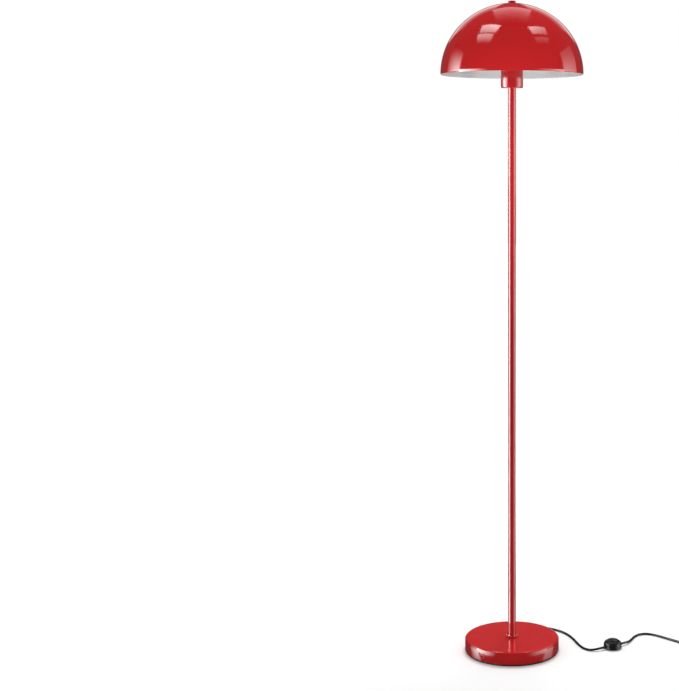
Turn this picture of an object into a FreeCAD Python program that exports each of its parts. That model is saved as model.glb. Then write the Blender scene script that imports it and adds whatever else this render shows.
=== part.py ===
import FreeCAD, Part
import math
import os
import re

import Sketcher

# Mushroom floor lamp: a spun shade on one straight pole and a weighted round base, with a foot switch on its
# lead. Millimetres, +Z up. The origin is the centre of the base's underside, on the floor.

V = FreeCAD.Vector
UP = V(0, 0, 1)

# ---------------------------------------------------------------------------------------------------------
# Driving dimensions. Angles are in degrees, and everything else is in millimetres.

SIZES = {
    # clearances
    "fit_gap": 0.1,            # radial, between fixed round pieces that go into one another
    "button_gap": 0.35,        # between the button and the switch's cover
    "seat_gap": 0.3,           # under a curved seat
    # base
    "base_radius": 102.0,
    "base_height": 30.5,
    "pad_thickness": 3.5,
    "pad_inset": 2.0,
    "pad_hole_radius": 14.0,
    "cover_wall": 1.5,
    "cover_edge_radius": 4.0,
    "weight_side_gap": 0.6,
    "weight_thickness": 16.0,
    "weight_edge_radius": 3.0,
    "boss_radius": 24.0,
    "recess_radius": 17.0,
    "recess_roof": 5.0,
    "channel_width": 10.6,
    "channel_depth": 11.0,
    # cord entry
    "cord_radius": 2.4,
    "gland_azimuth": 62.0,
    "gland_height": 9.0,
    "gland_sleeve_radius": 4.2,
    "gland_tip_radius": 3.1,
    "gland_reach": 20.0,
    "gland_flange_radius": 5.0,
    "gland_flange_thickness": 1.6,
    "gland_shoulder": 1.0,     # from the cover to where the sleeve starts to taper
    "clamp_place": 58.0,
    "clamp_length": 30.0,
    "clamp_width": 9.0,
    "clamp_thickness": 2.4,
    "clamp_screw_spacing": 20.0,
    "clamp_screw_radius": 1.7,
    "clamp_screw_length": 8.0,
    "screw_end_gap": 1.0,      # between a screw's end and the bottom of its hole
    "inner_bend_radius": 12.0,
    # threaded rods and their nuts
    "thread_radius": 5.0,
    "rod_bore_radius": 4.0,
    "nut_flats": 17.0,
    "nut_height": 5.0,
    "washer_radius": 11.5,
    "washer_thickness": 1.2,
    "rod_below_nut": 0.8,
    "rod_in_bush": 12.0,
    "bush_length": 14.0,
    # pole
    "pole_radius": 8.45,
    "pole_wall": 1.2,
    "pole_length": 1182.5,
    "collar_radius": 14.0,
    "collar_height": 6.0,
    "collar_lip": 1.0,
    # cup under the shade
    "cup_radius": 23.25,
    "cup_wall": 1.2,
    "cup_height": 56.0,
    "cup_edge_radius": 3.0,
    "cup_below_rim": 28.0,
    "cup_washer_radius": 10.0,
    "cup_washer_thickness": 1.0,
    "cup_nut_flats": 14.0,
    "cup_nut_height": 4.0,
    # lampholder
    "holder_radius": 19.75,
    "holder_wall": 2.0,
    "holder_neck_radius": 7.5,
    "holder_neck_height": 8.0,
    "holder_cap_height": 27.0,
    "holder_dome_height": 12.0,
    "holder_body_height": 35.0,
    "insert_thickness": 9.0,
    "insert_sink": 4.0,        # of the insert's top above the cap's rim
    "terminal_offset": 10.5,
    "terminal_screw_radius": 1.2,
    "terminal_head_radius": 2.0,
    "terminal_head_height": 1.6,
    "shell_radius": 13.6,      # inside of the threaded shell
    "shell_wall": 0.4,
    "shell_height": 26.0,
    "shell_flange_radius": 16.0,
    "contact_width": 6.0,
    "contact_rise": 2.2,
    "contact_sheet": 0.5,
    "ring_radius": 28.0,
    "ring_height": 6.0,
    "ring_notch_radius": 2.2,
    "ring_notches": 18,
    "wire_radius": 0.9,
    # shade and what carries it
    "shade_radius": 150.0,
    "shade_height": 147.5,
    "shade_wall": 1.2,
    "crown_hole_radius": 3.2,
    "carrier_sheet": 1.8,
    "carrier_width": 10.0,
    "carrier_ring_radius": 25.5,
    "carrier_reach": 44.0,
    "carrier_foot_bend": 6.0,
    "carrier_top_bend": 30.0,
    "crown_washer_radius": 9.0,
    "crown_washer_thickness": 1.0,
    "stud_radius": 3.0,
    "stud_in_finial": 3.0,
    "stud_nut_flats": 10.0,
    "stud_nut_height": 5.0,
    "stud_below_nut": 1.5,
    "finial_radius": 8.0,
    "finial_height": 4.7,
    "finial_edge_radius": 1.6,
    # bulb
    "bulb_radius": 30.0,
    "bulb_height": 108.0,
    "bulb_neck_radius": 12.4,
    "bulb_wall": 1.0,
    "bulb_cap_radius": 13.1,
    "bulb_cap_wall": 0.6,
    "bulb_cap_height": 26.0,
    "bulb_cap_start": 4.0,
    "bulb_neck_start": 20.0,
    "bulb_contact_radius": 3.2,
    "bulb_contact_height": 1.5,
    "bulb_shoulder_radius": 9.0,
    # foot switch
    "switch_x": 220.5,
    "switch_y": 10.5,
    "switch_turn": 32.0,
    "switch_radius": 19.5,
    "switch_wall": 1.6,
    "switch_floor": 1.0,
    "switch_edge_radius": 1.2,
    "switch_lip": 1.0,
    "switch_foot_height": 1.2,
    "switch_foot_radius": 13.0,
    "switch_foot_bore": 8.0,
    "switch_split": 10.5,      # height of the joint between the two shells
    "switch_crown": 18.4,      # height of the button's opening
    "switch_opening_radius": 11.5,
    "switch_dome_radius": 11.0,
    "switch_cord_height": 5.8,
    "switch_post_offset": 15.6,
    "switch_post_radius": 2.1,
    "switch_post_roof": 0.8,   # above the screw holes in the cover's posts
    "switch_screw_radius": 1.1,
    "switch_screw_head": 1.8,
    "switch_screw_length": 11.0,
    "button_top": 21.6,
    "button_edge_height": 19.6,
    "button_wall": 1.6,
    "button_flange": 1.3,
    "button_flange_height": 1.4,
    "button_stem_radius": 2.2,
    "button_travel": 3.0,
    "block_length": 22.0,
    "block_width": 14.0,
    "block_top": 8.9,
    "switch_terminal_offset": 8.2,
    "switch_terminal_height": 1.4,
    "relief_radius": 3.0,
    "relief_tip_radius": 2.7,
    "relief_reach": 7.0,
    "relief_shoulder": 0.5,    # from the switch to where the relief starts to taper
    "relief_flange_radius": 3.5,
    "relief_flange_thickness": 1.5,
    "spring_radius": 4.2,
    "spring_wire": 0.7,
    "spring_turns": 5.0,
    # coil of the lead that is put away, and its tie
    "coil_x": 427.0,
    "coil_y": 46.1,
    "coil_start_angle": -134.0,
    "coil_radius": 43.5,       # centre line of the outer turn
    "turn_pitch": 5.5,
    "climb_inset": 1.5,        # of the half turn that climbs to the upper layer
    "coil_half_turns_in": 7,
    "coil_half_turns_out": 6,
    "tie_sheet": 0.9,
    "tie_width": 10.0,
    "tie_corner": 3.0,
    # plug
    "plug_x": 421.7,
    "plug_y": -31.2,
    "plug_turn": -90.0,
    "plug_thickness": 13.7,
    "plug_width": 35.3,
    "plug_tail_width": 15.0,
    "plug_length": 36.0,
    "plug_shoulder": 24.0,
    "plug_edge_radius": 2.5,
    "plug_relief_length": 24.0,
    "plug_relief_radius": 4.8,
    "plug_relief_tip": 3.1,
    "plug_groove_depth": 0.6,
    "pin_radius": 2.0,
    "pin_core_radius": 1.5,
    "pin_length": 19.0,
    "pin_sleeve_length": 10.0,
    "pin_spacing": 18.3,
    "pin_depth": 6.0,
}

doc = FreeCAD.newDocument("MushroomFloorLamp")
sheet = doc.addObject("Spreadsheet::Sheet", "Sizes")
for row, (alias, number) in enumerate(SIZES.items(), start=1):
    sheet.set(f"A{row}", alias)
    sheet.set(f"B{row}", str(number))
    sheet.setAlias(f"B{row}", alias)
doc.recompute()

WORDS = re.compile(r"\b(" + "|".join(sorted(SIZES, key=len, reverse=True)) + r")\b")


def sized(text):
    """An expression with each size's name pointed at its cell of the sheet."""
    return WORDS.sub(r"Sizes.\1", text)


def size(text):
    """The value of a size, or of an expression of sizes."""
    return float(sheet.evalExpression(sized(text)))


# Levels, worked out from the sizes

COVER_ROOF = "(base_height - cover_wall)"
RECESS_TOP = "(base_height - cover_wall - recess_roof)"
BASE_NUT_TOP = f"({RECESS_TOP} - washer_thickness)"
BASE_ROD_END = f"({BASE_NUT_TOP} - nut_height - rod_below_nut)"
POLE_TOP = "(base_height + pole_length)"
RIM = f"({POLE_TOP} + cup_below_rim)"
CUP_TOP = f"({POLE_TOP} + cup_height)"
CUP_NUT_BOTTOM = f"({POLE_TOP} + cup_wall + cup_washer_thickness)"
HOLDER_BOTTOM = f"({CUP_NUT_BOTTOM} + cup_nut_height)"
TOP_ROD_END = f"({HOLDER_BOTTOM} + holder_neck_height)"
CAP_RIM = f"({HOLDER_BOTTOM} + holder_cap_height)"
INSERT_TOP = f"({CAP_RIM} + insert_sink)"
BULB_FOOT = f"({INSERT_TOP} + contact_rise + contact_sheet)"
CROWN = f"({RIM} + shade_height)"
CARRIER_TOP = f"({CROWN} - shade_wall - seat_gap - crown_washer_thickness)"
CARRIER_ROOF = f"({CARRIER_TOP} - carrier_sheet)"
BUTTON_CEILING = "(button_edge_height - button_wall)"
FLANGE_TOP = "(switch_crown - switch_wall - seat_gap)"

parts = []


def new_body(name):
    """An empty body that becomes the sub-part of that name."""
    body = doc.addObject("PartDesign::Body", name)
    body.Label = name
    parts.append(body)
    return body


def new_sketch(body, role, height=None):
    """A sketch on one of the body's own origin planes, lifted by an expression if one is given."""
    sketch = body.newObject("Sketcher::SketchObject", f"{body.Name}_sketch")
    plane = next(item for item in body.Origin.OriginFeatures if item.Role == role)
    sketch.AttachmentSupport = (plane, [""])
    sketch.MapMode = "FlatFace"
    if height is not None:
        sketch.setExpression("AttachmentOffset.Base.z", sized(height))
    return sketch


def fix_point(sketch, edge, end, across, along):
    """Holds one point of a sketch at two expressions, measured from the sketch's origin."""
    for kind, text in (("DistanceX", across), ("DistanceY", along)):
        number = sketch.addConstraint(Sketcher.Constraint(kind, -1, 1, edge, end, size(text)))
        sketch.setExpression(f"Constraints[{number}]", sized(text))


def draw_circle(sketch, radius, across="0", along="0"):
    """A circle whose radius and centre are expressions."""
    centre = V(size(across), size(along), 0)
    edge = sketch.addGeometry(Part.Circle(centre, UP, size(radius)), False)
    number = sketch.addConstraint(Sketcher.Constraint("Radius", edge, size(radius)))
    sketch.setExpression(f"Constraints[{number}]", sized(radius))
    fix_point(sketch, edge, 3, across, along)


def draw_profile(sketch, corners):
    """A closed outline through the corners (across, along).

    A corner (across, along, radius, side) is reached by an arc of that radius, which bends to that side,
    "left" or "right", on its way from the corner before it.
    """
    points = [V(size(corner[0]), size(corner[1]), 0) for corner in corners]
    edges = []
    for number, corner in enumerate(corners):
        start, end = points[number - 1], points[number]
        if len(corner) == 2:
            edges.append((sketch.addGeometry(Part.LineSegment(start, end), False), 1, 2))
            continue
        radius, turns_left = size(corner[2]), corner[3] == "left"
        chord = end - start
        inward = V(-chord.y, chord.x, 0).normalize() * (1 if turns_left else -1)
        centre = (start + end) * 0.5 + inward * math.sqrt(max(radius**2 - chord.Length**2 / 4, 0))
        first, last = (start, end) if turns_left else (end, start)
        angles = [math.atan2(point.y - centre.y, point.x - centre.x) for point in (first, last)]
        if angles[1] < angles[0]:
            angles[1] += 2 * math.pi
        edge = sketch.addGeometry(Part.ArcOfCircle(Part.Circle(centre, UP, radius), *angles), False)
        held = sketch.addConstraint(Sketcher.Constraint("Radius", edge, radius))
        sketch.setExpression(f"Constraints[{held}]", sized(corner[2]))
        edges.append((edge, 1, 2) if turns_left else (edge, 2, 1))
    for number, (edge, _, end) in enumerate(edges):
        following, start, _ = edges[(number + 1) % len(edges)]
        sketch.addConstraint(Sketcher.Constraint("Coincident", edge, end, following, start))
        fix_point(sketch, edge, end, *corners[number][:2])


def rectangle(low_x, low_y, high_x, high_y):
    """The corners of an upright rectangle."""
    return [(low_x, low_y), (high_x, low_y), (high_x, high_y), (low_x, high_y)]


def volume_of(body):
    """The body's volume, worked out afresh."""
    doc.recompute()
    return body.Shape.Volume


def pad(body, sketch, length, midplane=False):
    """Adds the sketch's outline, extruded by an expression."""
    feature = body.newObject("PartDesign::Pad", f"{body.Name}_pad")
    feature.Profile = sketch
    feature.setExpression("Length", sized(length))
    feature.Midplane = midplane
    return feature


def pocket(body, sketch, depth, along_normal=True):
    """Cuts the sketch's outline to a depth, along the sketch's normal or against it."""
    before = volume_of(body)
    feature = body.newObject("PartDesign::Pocket", f"{body.Name}_pocket")
    feature.Profile = sketch
    feature.setExpression("Length", sized(depth))
    feature.Reversed = along_normal
    if volume_of(body) > before - 1e-3:
        raise RuntimeError(f"{body.Name}: a pocket cuts nothing")
    return feature


def revolve(body, sketch, axis="V_Axis"):
    """Turns the sketch's outline once round one of its own axes."""
    feature = body.newObject("PartDesign::Revolution", f"{body.Name}_revolution")
    feature.Profile = sketch
    feature.ReferenceAxis = (sketch, [axis])
    feature.Angle = 360
    return feature


def around(body, features, count):
    """Repeats features round the body's own Z axis."""
    pattern = body.newObject("PartDesign::PolarPattern", f"{body.Name}_pattern")
    pattern.Originals = features
    axis = next(item for item in body.Origin.OriginFeatures if item.Role == "Z_Axis")
    pattern.Axis = (axis, [""])
    pattern.Angle = 360
    pattern.Occurrences = count
    body.Tip = pattern
    return pattern


def place(item, across="0", along="0", height="0", turn=None):
    """Puts a sub-part at three expressions, turned about +Z by a fourth."""
    for direction, text in zip("xyz", (across, along, height), strict=True):
        item.setExpression(f"Placement.Base.{direction}", sized(text))
    if turn is not None:
        item.Placement = FreeCAD.Placement(V(), FreeCAD.Rotation(UP, size(turn)))
        item.setExpression("Placement.Rotation.Angle", f"({sized(turn)}) * 1 deg")
    return item


def turned(name, corners, axis="V_Axis"):
    """A body turned from one outline, drawn as (radius, height), or (length, radius) about the H axis."""
    body = new_body(name)
    sketch = new_sketch(body, "XZ_Plane")
    draw_profile(sketch, corners)
    revolve(body, sketch, axis)
    return body


def ring(name, outer, bore, bottom, height):
    """A plain ring or tube that stands upright."""
    body = new_body(name)
    sketch = new_sketch(body, "XY_Plane", bottom)
    draw_circle(sketch, outer)
    draw_circle(sketch, bore)
    pad(body, sketch, height)
    return body


def hex_nut(name, flats, bore, bottom, height):
    """A hexagon nut on the lamp's axis."""
    body = new_body(name)
    sketch = new_sketch(body, "XY_Plane", bottom)
    corner = f"({flats} / sqrt(3))"
    half = f"({flats} / 2)"
    outline = [(corner, "0"), (f"{corner} / 2", half), (f"-{corner} / 2", half)]
    outline += [(f"-{corner}", "0"), (f"-{corner} / 2", f"-{half}"), (f"{corner} / 2", f"-{half}")]
    draw_profile(sketch, outline)
    draw_circle(sketch, bore)
    pad(body, sketch, height)
    return body


def screw(name, shank, head, head_height, length, bottom):
    """A pan-head screw, head down, that stands on the level bottom."""
    return turned(name, [
        ("0", bottom),
        (head, bottom),
        (head, f"{bottom} + {head_height}"),
        (shank, f"{bottom} + {head_height}"),
        (shank, f"{bottom} + {head_height} + {length}"),
        ("0", f"{bottom} + {head_height} + {length}"),
    ])


def pair(name, source, normal):
    """One node of two separate pieces: the source and its mirror image across a plane of the origin."""
    parts.remove(source)
    source.Label = f"{name}_one"
    mirrored = doc.addObject("Part::Mirroring", f"{name}_other")
    mirrored.Source = source
    mirrored.Normal = normal
    both = doc.addObject("Part::Compound", name)
    both.Links = [source, mirrored]
    both.Label = name
    parts.append(both)
    return both


def feature(name, shape):
    """A sub-part whose shape comes from geometry functions, as its path has no sketch."""
    item = doc.addObject("Part::Feature", name)
    item.Label = name
    item.Shape = shape
    parts.append(item)
    return item


# ---------------------------------------------------------------------------------------------------------
# Base: a pressed cover over a cast weight, on a foam pad


def make_base():
    body = new_body("base_pad")
    sketch = new_sketch(body, "XY_Plane")
    draw_circle(sketch, "base_radius - pad_inset")
    draw_circle(sketch, "pad_hole_radius")
    pad(body, sketch, "pad_thickness")

    bore = "(thread_radius + fit_gap)"
    inner = "(base_radius - cover_wall)"
    cover = turned("base_cover", [
        (bore, "base_height"),
        (bore, COVER_ROOF),
        ("base_radius - cover_edge_radius", COVER_ROOF),
        (inner, "base_height - cover_edge_radius", "cover_edge_radius - cover_wall", "right"),
        (inner, "pad_thickness"),
        ("base_radius", "pad_thickness"),
        ("base_radius", "base_height - cover_edge_radius"),
        ("base_radius - cover_edge_radius", "base_height", "cover_edge_radius", "left"),
    ])
    sketch = new_sketch(cover, "YZ_Plane")
    draw_circle(sketch, "gland_sleeve_radius + fit_gap", "0", "gland_height")
    pocket(cover, sketch, "2 * base_radius")
    place(cover, turn="gland_azimuth")

    edge = "(base_radius - cover_wall - weight_side_gap)"
    top = "(pad_thickness + weight_thickness)"
    weight = turned("base_weight", [
        (bore, COVER_ROOF),
        (bore, RECESS_TOP),
        ("recess_radius", RECESS_TOP),
        ("recess_radius", "pad_thickness"),
        (edge, "pad_thickness"),
        (edge, f"{top} - weight_edge_radius"),
        (f"{edge} - weight_edge_radius", top, "weight_edge_radius", "left"),
        ("boss_radius", top),
        ("boss_radius", COVER_ROOF),
    ])
    half = "(channel_width / 2)"
    sketch = new_sketch(weight, "XY_Plane", "pad_thickness")
    draw_profile(sketch, rectangle("0", f"-{half}", "base_radius", half))
    pocket(weight, sketch, "channel_depth")
    sketch = new_sketch(weight, "XY_Plane", "pad_thickness")
    long, wide = "(clamp_length / 2 + fit_gap)", "(clamp_width / 2 + fit_gap)"
    draw_profile(sketch, rectangle(
        f"clamp_place - {wide}", f"-{long}", f"clamp_place + {wide}", long))
    pocket(weight, sketch, "gland_height - cord_radius - pad_thickness")
    sketch = new_sketch(weight, "XY_Plane", "gland_height - cord_radius")
    for side in ("-", ""):
        draw_circle(sketch, "clamp_screw_radius + fit_gap", "clamp_place", f"{side}clamp_screw_spacing / 2")
    pocket(weight, sketch, "clamp_screw_length")
    place(weight, turn="gland_azimuth")


def make_cord_entry():
    # The bar presses the lead against the channel's roof. Its top face lies on the lead.
    top = "(gland_height - cord_radius)"
    bar = new_body("cord_clamp")
    sketch = new_sketch(bar, "XY_Plane", f"{top} - clamp_thickness")
    draw_profile(sketch, rectangle(
        "clamp_place - clamp_width / 2", "-clamp_length / 2", "clamp_place + clamp_width / 2", "clamp_length / 2"))
    for side in ("-", ""):
        draw_circle(sketch, "clamp_screw_radius + fit_gap", "clamp_place", f"{side}clamp_screw_spacing / 2")
    pad(bar, sketch, "clamp_thickness")
    place(bar, turn="gland_azimuth")

    # The heads reach down to the pad's upper face.
    one = screw("clamp_screw", "clamp_screw_radius", "2 * clamp_screw_radius",
                f"({top} - clamp_thickness - pad_thickness)", "(clamp_thickness + clamp_screw_length - screw_end_gap)",
                "pad_thickness")
    place(one, "clamp_place", "clamp_screw_spacing / 2")
    both = pair("clamp_screws", one, V(0, 1, 0))
    place(both, turn="gland_azimuth")

    flange_face = "(sqrt((base_radius - cover_wall)^2 - gland_flange_radius^2) - fit_gap)"
    tip = "(base_radius + gland_reach)"
    bore = "(cord_radius + fit_gap)"
    grommet = turned("cord_grommet", [
        (f"{flange_face} - gland_flange_thickness", bore),
        (tip, bore),
        (tip, "gland_tip_radius"),
        ("base_radius + gland_shoulder", "gland_sleeve_radius"),
        (flange_face, "gland_sleeve_radius"),
        (flange_face, "gland_flange_radius"),
        (f"{flange_face} - gland_flange_thickness", "gland_flange_radius"),
    ], "H_Axis")
    place(grommet, height="gland_height", turn="gland_azimuth")


def make_pole():
    bore = "(thread_radius + fit_gap)"
    ring("base_washer", "washer_radius", bore, BASE_NUT_TOP, "washer_thickness")
    hex_nut("base_nut", "nut_flats", bore, f"{BASE_NUT_TOP} - nut_height", "nut_height")
    ring("base_nipple", "thread_radius", "rod_bore_radius", BASE_ROD_END,
         f"base_height + rod_in_bush - {BASE_ROD_END}")
    bush = "(pole_radius - pole_wall - fit_gap)"
    ring("pole_bottom_bush", bush, bore, "base_height", "bush_length")
    ring("pole_top_bush", bush, bore, f"{POLE_TOP} - bush_length", "bush_length")
    ring("pole_tube", "pole_radius", "pole_radius - pole_wall", "base_height", "pole_length")
    ring("top_nipple", "thread_radius", "rod_bore_radius", f"{POLE_TOP} - rod_in_bush",
         f"{TOP_ROD_END} - {POLE_TOP} + rod_in_bush")

    # The collar sweeps out from the pole in one hollow curve.
    inner = "(pole_radius + fit_gap)"
    sweep = "(collar_height - collar_lip)"
    shoulder = "(collar_radius - collar_height + collar_lip)"
    turned("pole_collar", [
        (inner, "base_height"),
        ("collar_radius", "base_height"),
        ("collar_radius", "base_height + collar_lip"),
        (shoulder, "base_height + collar_height", sweep, "right"),
        (inner, "base_height + collar_height"),
    ])


# ---------------------------------------------------------------------------------------------------------
# Head: cup, lampholder, bulb, shade carrier and shade


def make_cup():
    bore = "(thread_radius + fit_gap)"
    floor = f"({POLE_TOP} + cup_wall)"
    inner = "(cup_radius - cup_wall)"
    turned("socket_cup", [
        (bore, floor),
        (bore, POLE_TOP),
        ("cup_radius - cup_edge_radius", POLE_TOP),
        ("cup_radius", f"{POLE_TOP} + cup_edge_radius", "cup_edge_radius", "left"),
        ("cup_radius", CUP_TOP),
        (inner, CUP_TOP),
        (inner, f"{POLE_TOP} + cup_edge_radius"),
        ("cup_radius - cup_edge_radius", floor, "cup_edge_radius - cup_wall", "right"),
    ])
    ring("cup_washer", "cup_washer_radius", bore, floor, "cup_washer_thickness")
    hex_nut("cup_nut", "cup_nut_flats", bore, CUP_NUT_BOTTOM, "cup_nut_height")


def make_lampholder():
    bore = "(thread_radius + fit_gap)"
    inner = "(holder_radius - holder_wall)"
    shoulder = f"({CAP_RIM} - holder_cap_height + holder_neck_height - holder_wall)"
    dome_top = f"({shoulder} + holder_dome_height)"
    turned("holder_cap", [
        (bore, TOP_ROD_END),
        (bore, HOLDER_BOTTOM),
        ("holder_neck_radius", HOLDER_BOTTOM),
        ("holder_neck_radius", shoulder),
        ("holder_radius", dome_top, "holder_dome_height + holder_neck_radius / 4", "left"),
        ("holder_radius", CAP_RIM),
        (inner, CAP_RIM),
        (inner, dome_top),
        ("holder_neck_radius", TOP_ROD_END, "holder_dome_height + holder_neck_radius / 4", "right"),
    ])
    ring("holder_body", "holder_radius", inner, CAP_RIM, "holder_body_height")

    insert = ring("holder_insert", f"{inner} - fit_gap", "terminal_head_radius",
                  f"{INSERT_TOP} - insert_thickness", "insert_thickness")
    sketch = new_sketch(insert, "XY_Plane", f"{INSERT_TOP} - insert_thickness")
    for side in ("-", ""):
        draw_circle(sketch, "terminal_screw_radius + fit_gap", f"{side}terminal_offset")
    pocket(insert, sketch, "insert_thickness / 2")
    head = f"({INSERT_TOP} - insert_thickness - terminal_head_height)"
    one = screw("terminal_screw", "terminal_screw_radius", "terminal_head_radius", "terminal_head_height",
                "(insert_thickness / 2 - screw_end_gap)", head)
    place(one, "terminal_offset")
    pair("terminal_screws", one, V(1, 0, 0))

    wall = "(shell_radius + shell_wall)"
    turned("thread_shell", [
        ("shell_radius", INSERT_TOP),
        ("shell_flange_radius", INSERT_TOP),
        ("shell_flange_radius", f"{INSERT_TOP} + shell_wall"),
        (wall, f"{INSERT_TOP} + shell_wall"),
        (wall, f"{INSERT_TOP} + shell_height"),
        ("shell_radius", f"{INSERT_TOP} + shell_height"),
    ])
    # The spring strip lies on the insert and lifts its free end to the bulb.
    strip = new_body("centre_contact")
    sketch = new_sketch(strip, "XZ_Plane")
    low, high = INSERT_TOP, f"({INSERT_TOP} + contact_rise)"
    draw_profile(sketch, [
        ("-1.5 * contact_width", low),
        ("-contact_width", low),
        ("-contact_width / 2", high),
        ("contact_width / 2", high),
        ("contact_width / 2", f"{high} + contact_sheet"),
        ("-contact_width / 2 - contact_sheet / 2", f"{high} + contact_sheet"),
        ("-contact_width - contact_sheet / 2", f"{low} + contact_sheet"),
        ("-1.5 * contact_width", f"{low} + contact_sheet"),
    ])
    pad(strip, sketch, "contact_width", midplane=True)

    # Ring nut on the lampholder's outside, with finger notches round its rim
    nut = ring("holder_ring", "ring_radius", "holder_radius + fit_gap", f"{CUP_TOP} + carrier_sheet",
               "ring_height")
    sketch = new_sketch(nut, "XY_Plane", f"{CUP_TOP} + carrier_sheet")
    draw_circle(sketch, "ring_notch_radius", "ring_radius + ring_notch_radius / 2")
    notch = pocket(nut, sketch, "ring_height")
    around(nut, [notch], int(size("ring_notches")))


def make_bulb():
    foot = BULB_FOOT
    insulator_top = f"({foot} + bulb_cap_start)"
    contact_top = f"({foot} + bulb_contact_height)"
    turned("bulb_contact", [
        ("0", foot),
        ("bulb_contact_radius / 2", foot),
        ("bulb_contact_radius", contact_top),
        ("0", contact_top),
    ])
    turned("bulb_insulator", [
        ("0", contact_top),
        ("bulb_contact_radius + 1", contact_top),
        ("bulb_shoulder_radius", insulator_top),
        ("0", insulator_top),
    ])
    cap_top = f"({foot} + bulb_cap_height)"
    step = f"({insulator_top} + bulb_cap_radius - bulb_shoulder_radius)"
    inner = "(bulb_cap_radius - bulb_cap_wall)"
    turned("bulb_cap", [
        ("0", insulator_top),
        ("bulb_shoulder_radius", insulator_top),
        ("bulb_cap_radius", step),
        ("bulb_cap_radius", cap_top),
        (inner, cap_top),
        (inner, f"{step} + bulb_cap_wall / 2"),
        ("bulb_shoulder_radius - bulb_cap_wall / 2", f"{insulator_top} + bulb_cap_wall"),
        ("0", f"{insulator_top} + bulb_cap_wall"),
    ])

    # The globe runs into the neck through a hollow curve that meets it at 45 degrees.
    middle = f"({foot} + bulb_height - bulb_radius)"
    cosine = "sqrt(0.5)"
    bend = f"((bulb_radius * {cosine} - bulb_neck_radius) / (1 - {cosine}))"
    neck_top = f"({middle} - (bulb_radius + {bend}) * {cosine})"
    neck_foot = f"({foot} + bulb_neck_start)"
    joint = f"((bulb_radius) * {cosine})"
    inner_joint = f"((bulb_radius - bulb_wall) * {cosine})"
    turned("bulb_glass", [
        ("bulb_neck_radius - bulb_wall", neck_foot),
        ("bulb_neck_radius", neck_foot),
        ("bulb_neck_radius", neck_top),
        (joint, f"{middle} - {joint}", bend, "right"),
        ("0", f"{middle} + bulb_radius", "bulb_radius", "left"),
        ("0", f"{middle} + bulb_radius - bulb_wall"),
        (inner_joint, f"{middle} - {inner_joint}", "bulb_radius - bulb_wall", "right"),
        ("bulb_neck_radius - bulb_wall", neck_top, f"{bend} + bulb_wall", "left"),
    ])


def make_carrier():
    carrier = new_body("shade_carrier")
    sketch = new_sketch(carrier, "XY_Plane", CUP_TOP)
    draw_circle(sketch, "carrier_ring_radius")
    draw_circle(sketch, "holder_radius + fit_gap")
    pad(carrier, sketch, "carrier_sheet")
    # Right half of the hoop, from its foot in the ring to the middle of its bridge
    foot_bend = f"({CUP_TOP} + carrier_foot_bend)"
    top_bend = f"({CARRIER_TOP} - carrier_top_bend)"
    inner = "(carrier_reach - carrier_sheet)"
    foot = "((holder_radius + carrier_ring_radius) / 2)"
    sketch = new_sketch(carrier, "XZ_Plane")
    draw_profile(sketch, [
        ("0", CARRIER_TOP),
        ("0", CARRIER_ROOF),
        ("carrier_reach - carrier_top_bend", CARRIER_ROOF),
        (inner, top_bend, "carrier_top_bend - carrier_sheet", "right"),
        (inner, foot_bend),
        ("carrier_reach - carrier_foot_bend", f"{CUP_TOP} + carrier_sheet",
         "carrier_foot_bend - carrier_sheet", "right"),
        (foot, f"{CUP_TOP} + carrier_sheet"),
        (foot, CUP_TOP),
        ("carrier_reach - carrier_foot_bend", CUP_TOP),
        ("carrier_reach", foot_bend, "carrier_foot_bend", "left"),
        ("carrier_reach", top_bend),
        ("carrier_reach - carrier_top_bend", CARRIER_TOP, "carrier_top_bend", "left"),
    ])
    half = pad(carrier, sketch, "carrier_width", midplane=True)
    doc.recompute()
    mirrored = carrier.newObject("PartDesign::Mirrored", "shade_carrier_mirrored")
    mirrored.Originals = [half]
    plane = next(item for item in carrier.Origin.OriginFeatures if item.Role == "YZ_Plane")
    mirrored.MirrorPlane = (plane, [""])
    carrier.Tip = mirrored
    sketch = new_sketch(carrier, "XY_Plane", CARRIER_ROOF)
    draw_circle(sketch, "stud_radius + fit_gap")
    pocket(carrier, sketch, "2 * carrier_sheet")

    stud_foot = f"({CARRIER_ROOF} - stud_nut_height - stud_below_nut)"
    stud = new_body("carrier_stud")
    sketch = new_sketch(stud, "XY_Plane", stud_foot)
    draw_circle(sketch, "stud_radius")
    pad(stud, sketch, f"{CROWN} + stud_in_finial - {stud_foot}")
    hex_nut("carrier_nut", "stud_nut_flats", "stud_radius + fit_gap", f"{CARRIER_ROOF} - stud_nut_height",
            "stud_nut_height")
    ring("shade_washer", "crown_washer_radius", "stud_radius + fit_gap", CARRIER_TOP,
         "crown_washer_thickness")


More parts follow.
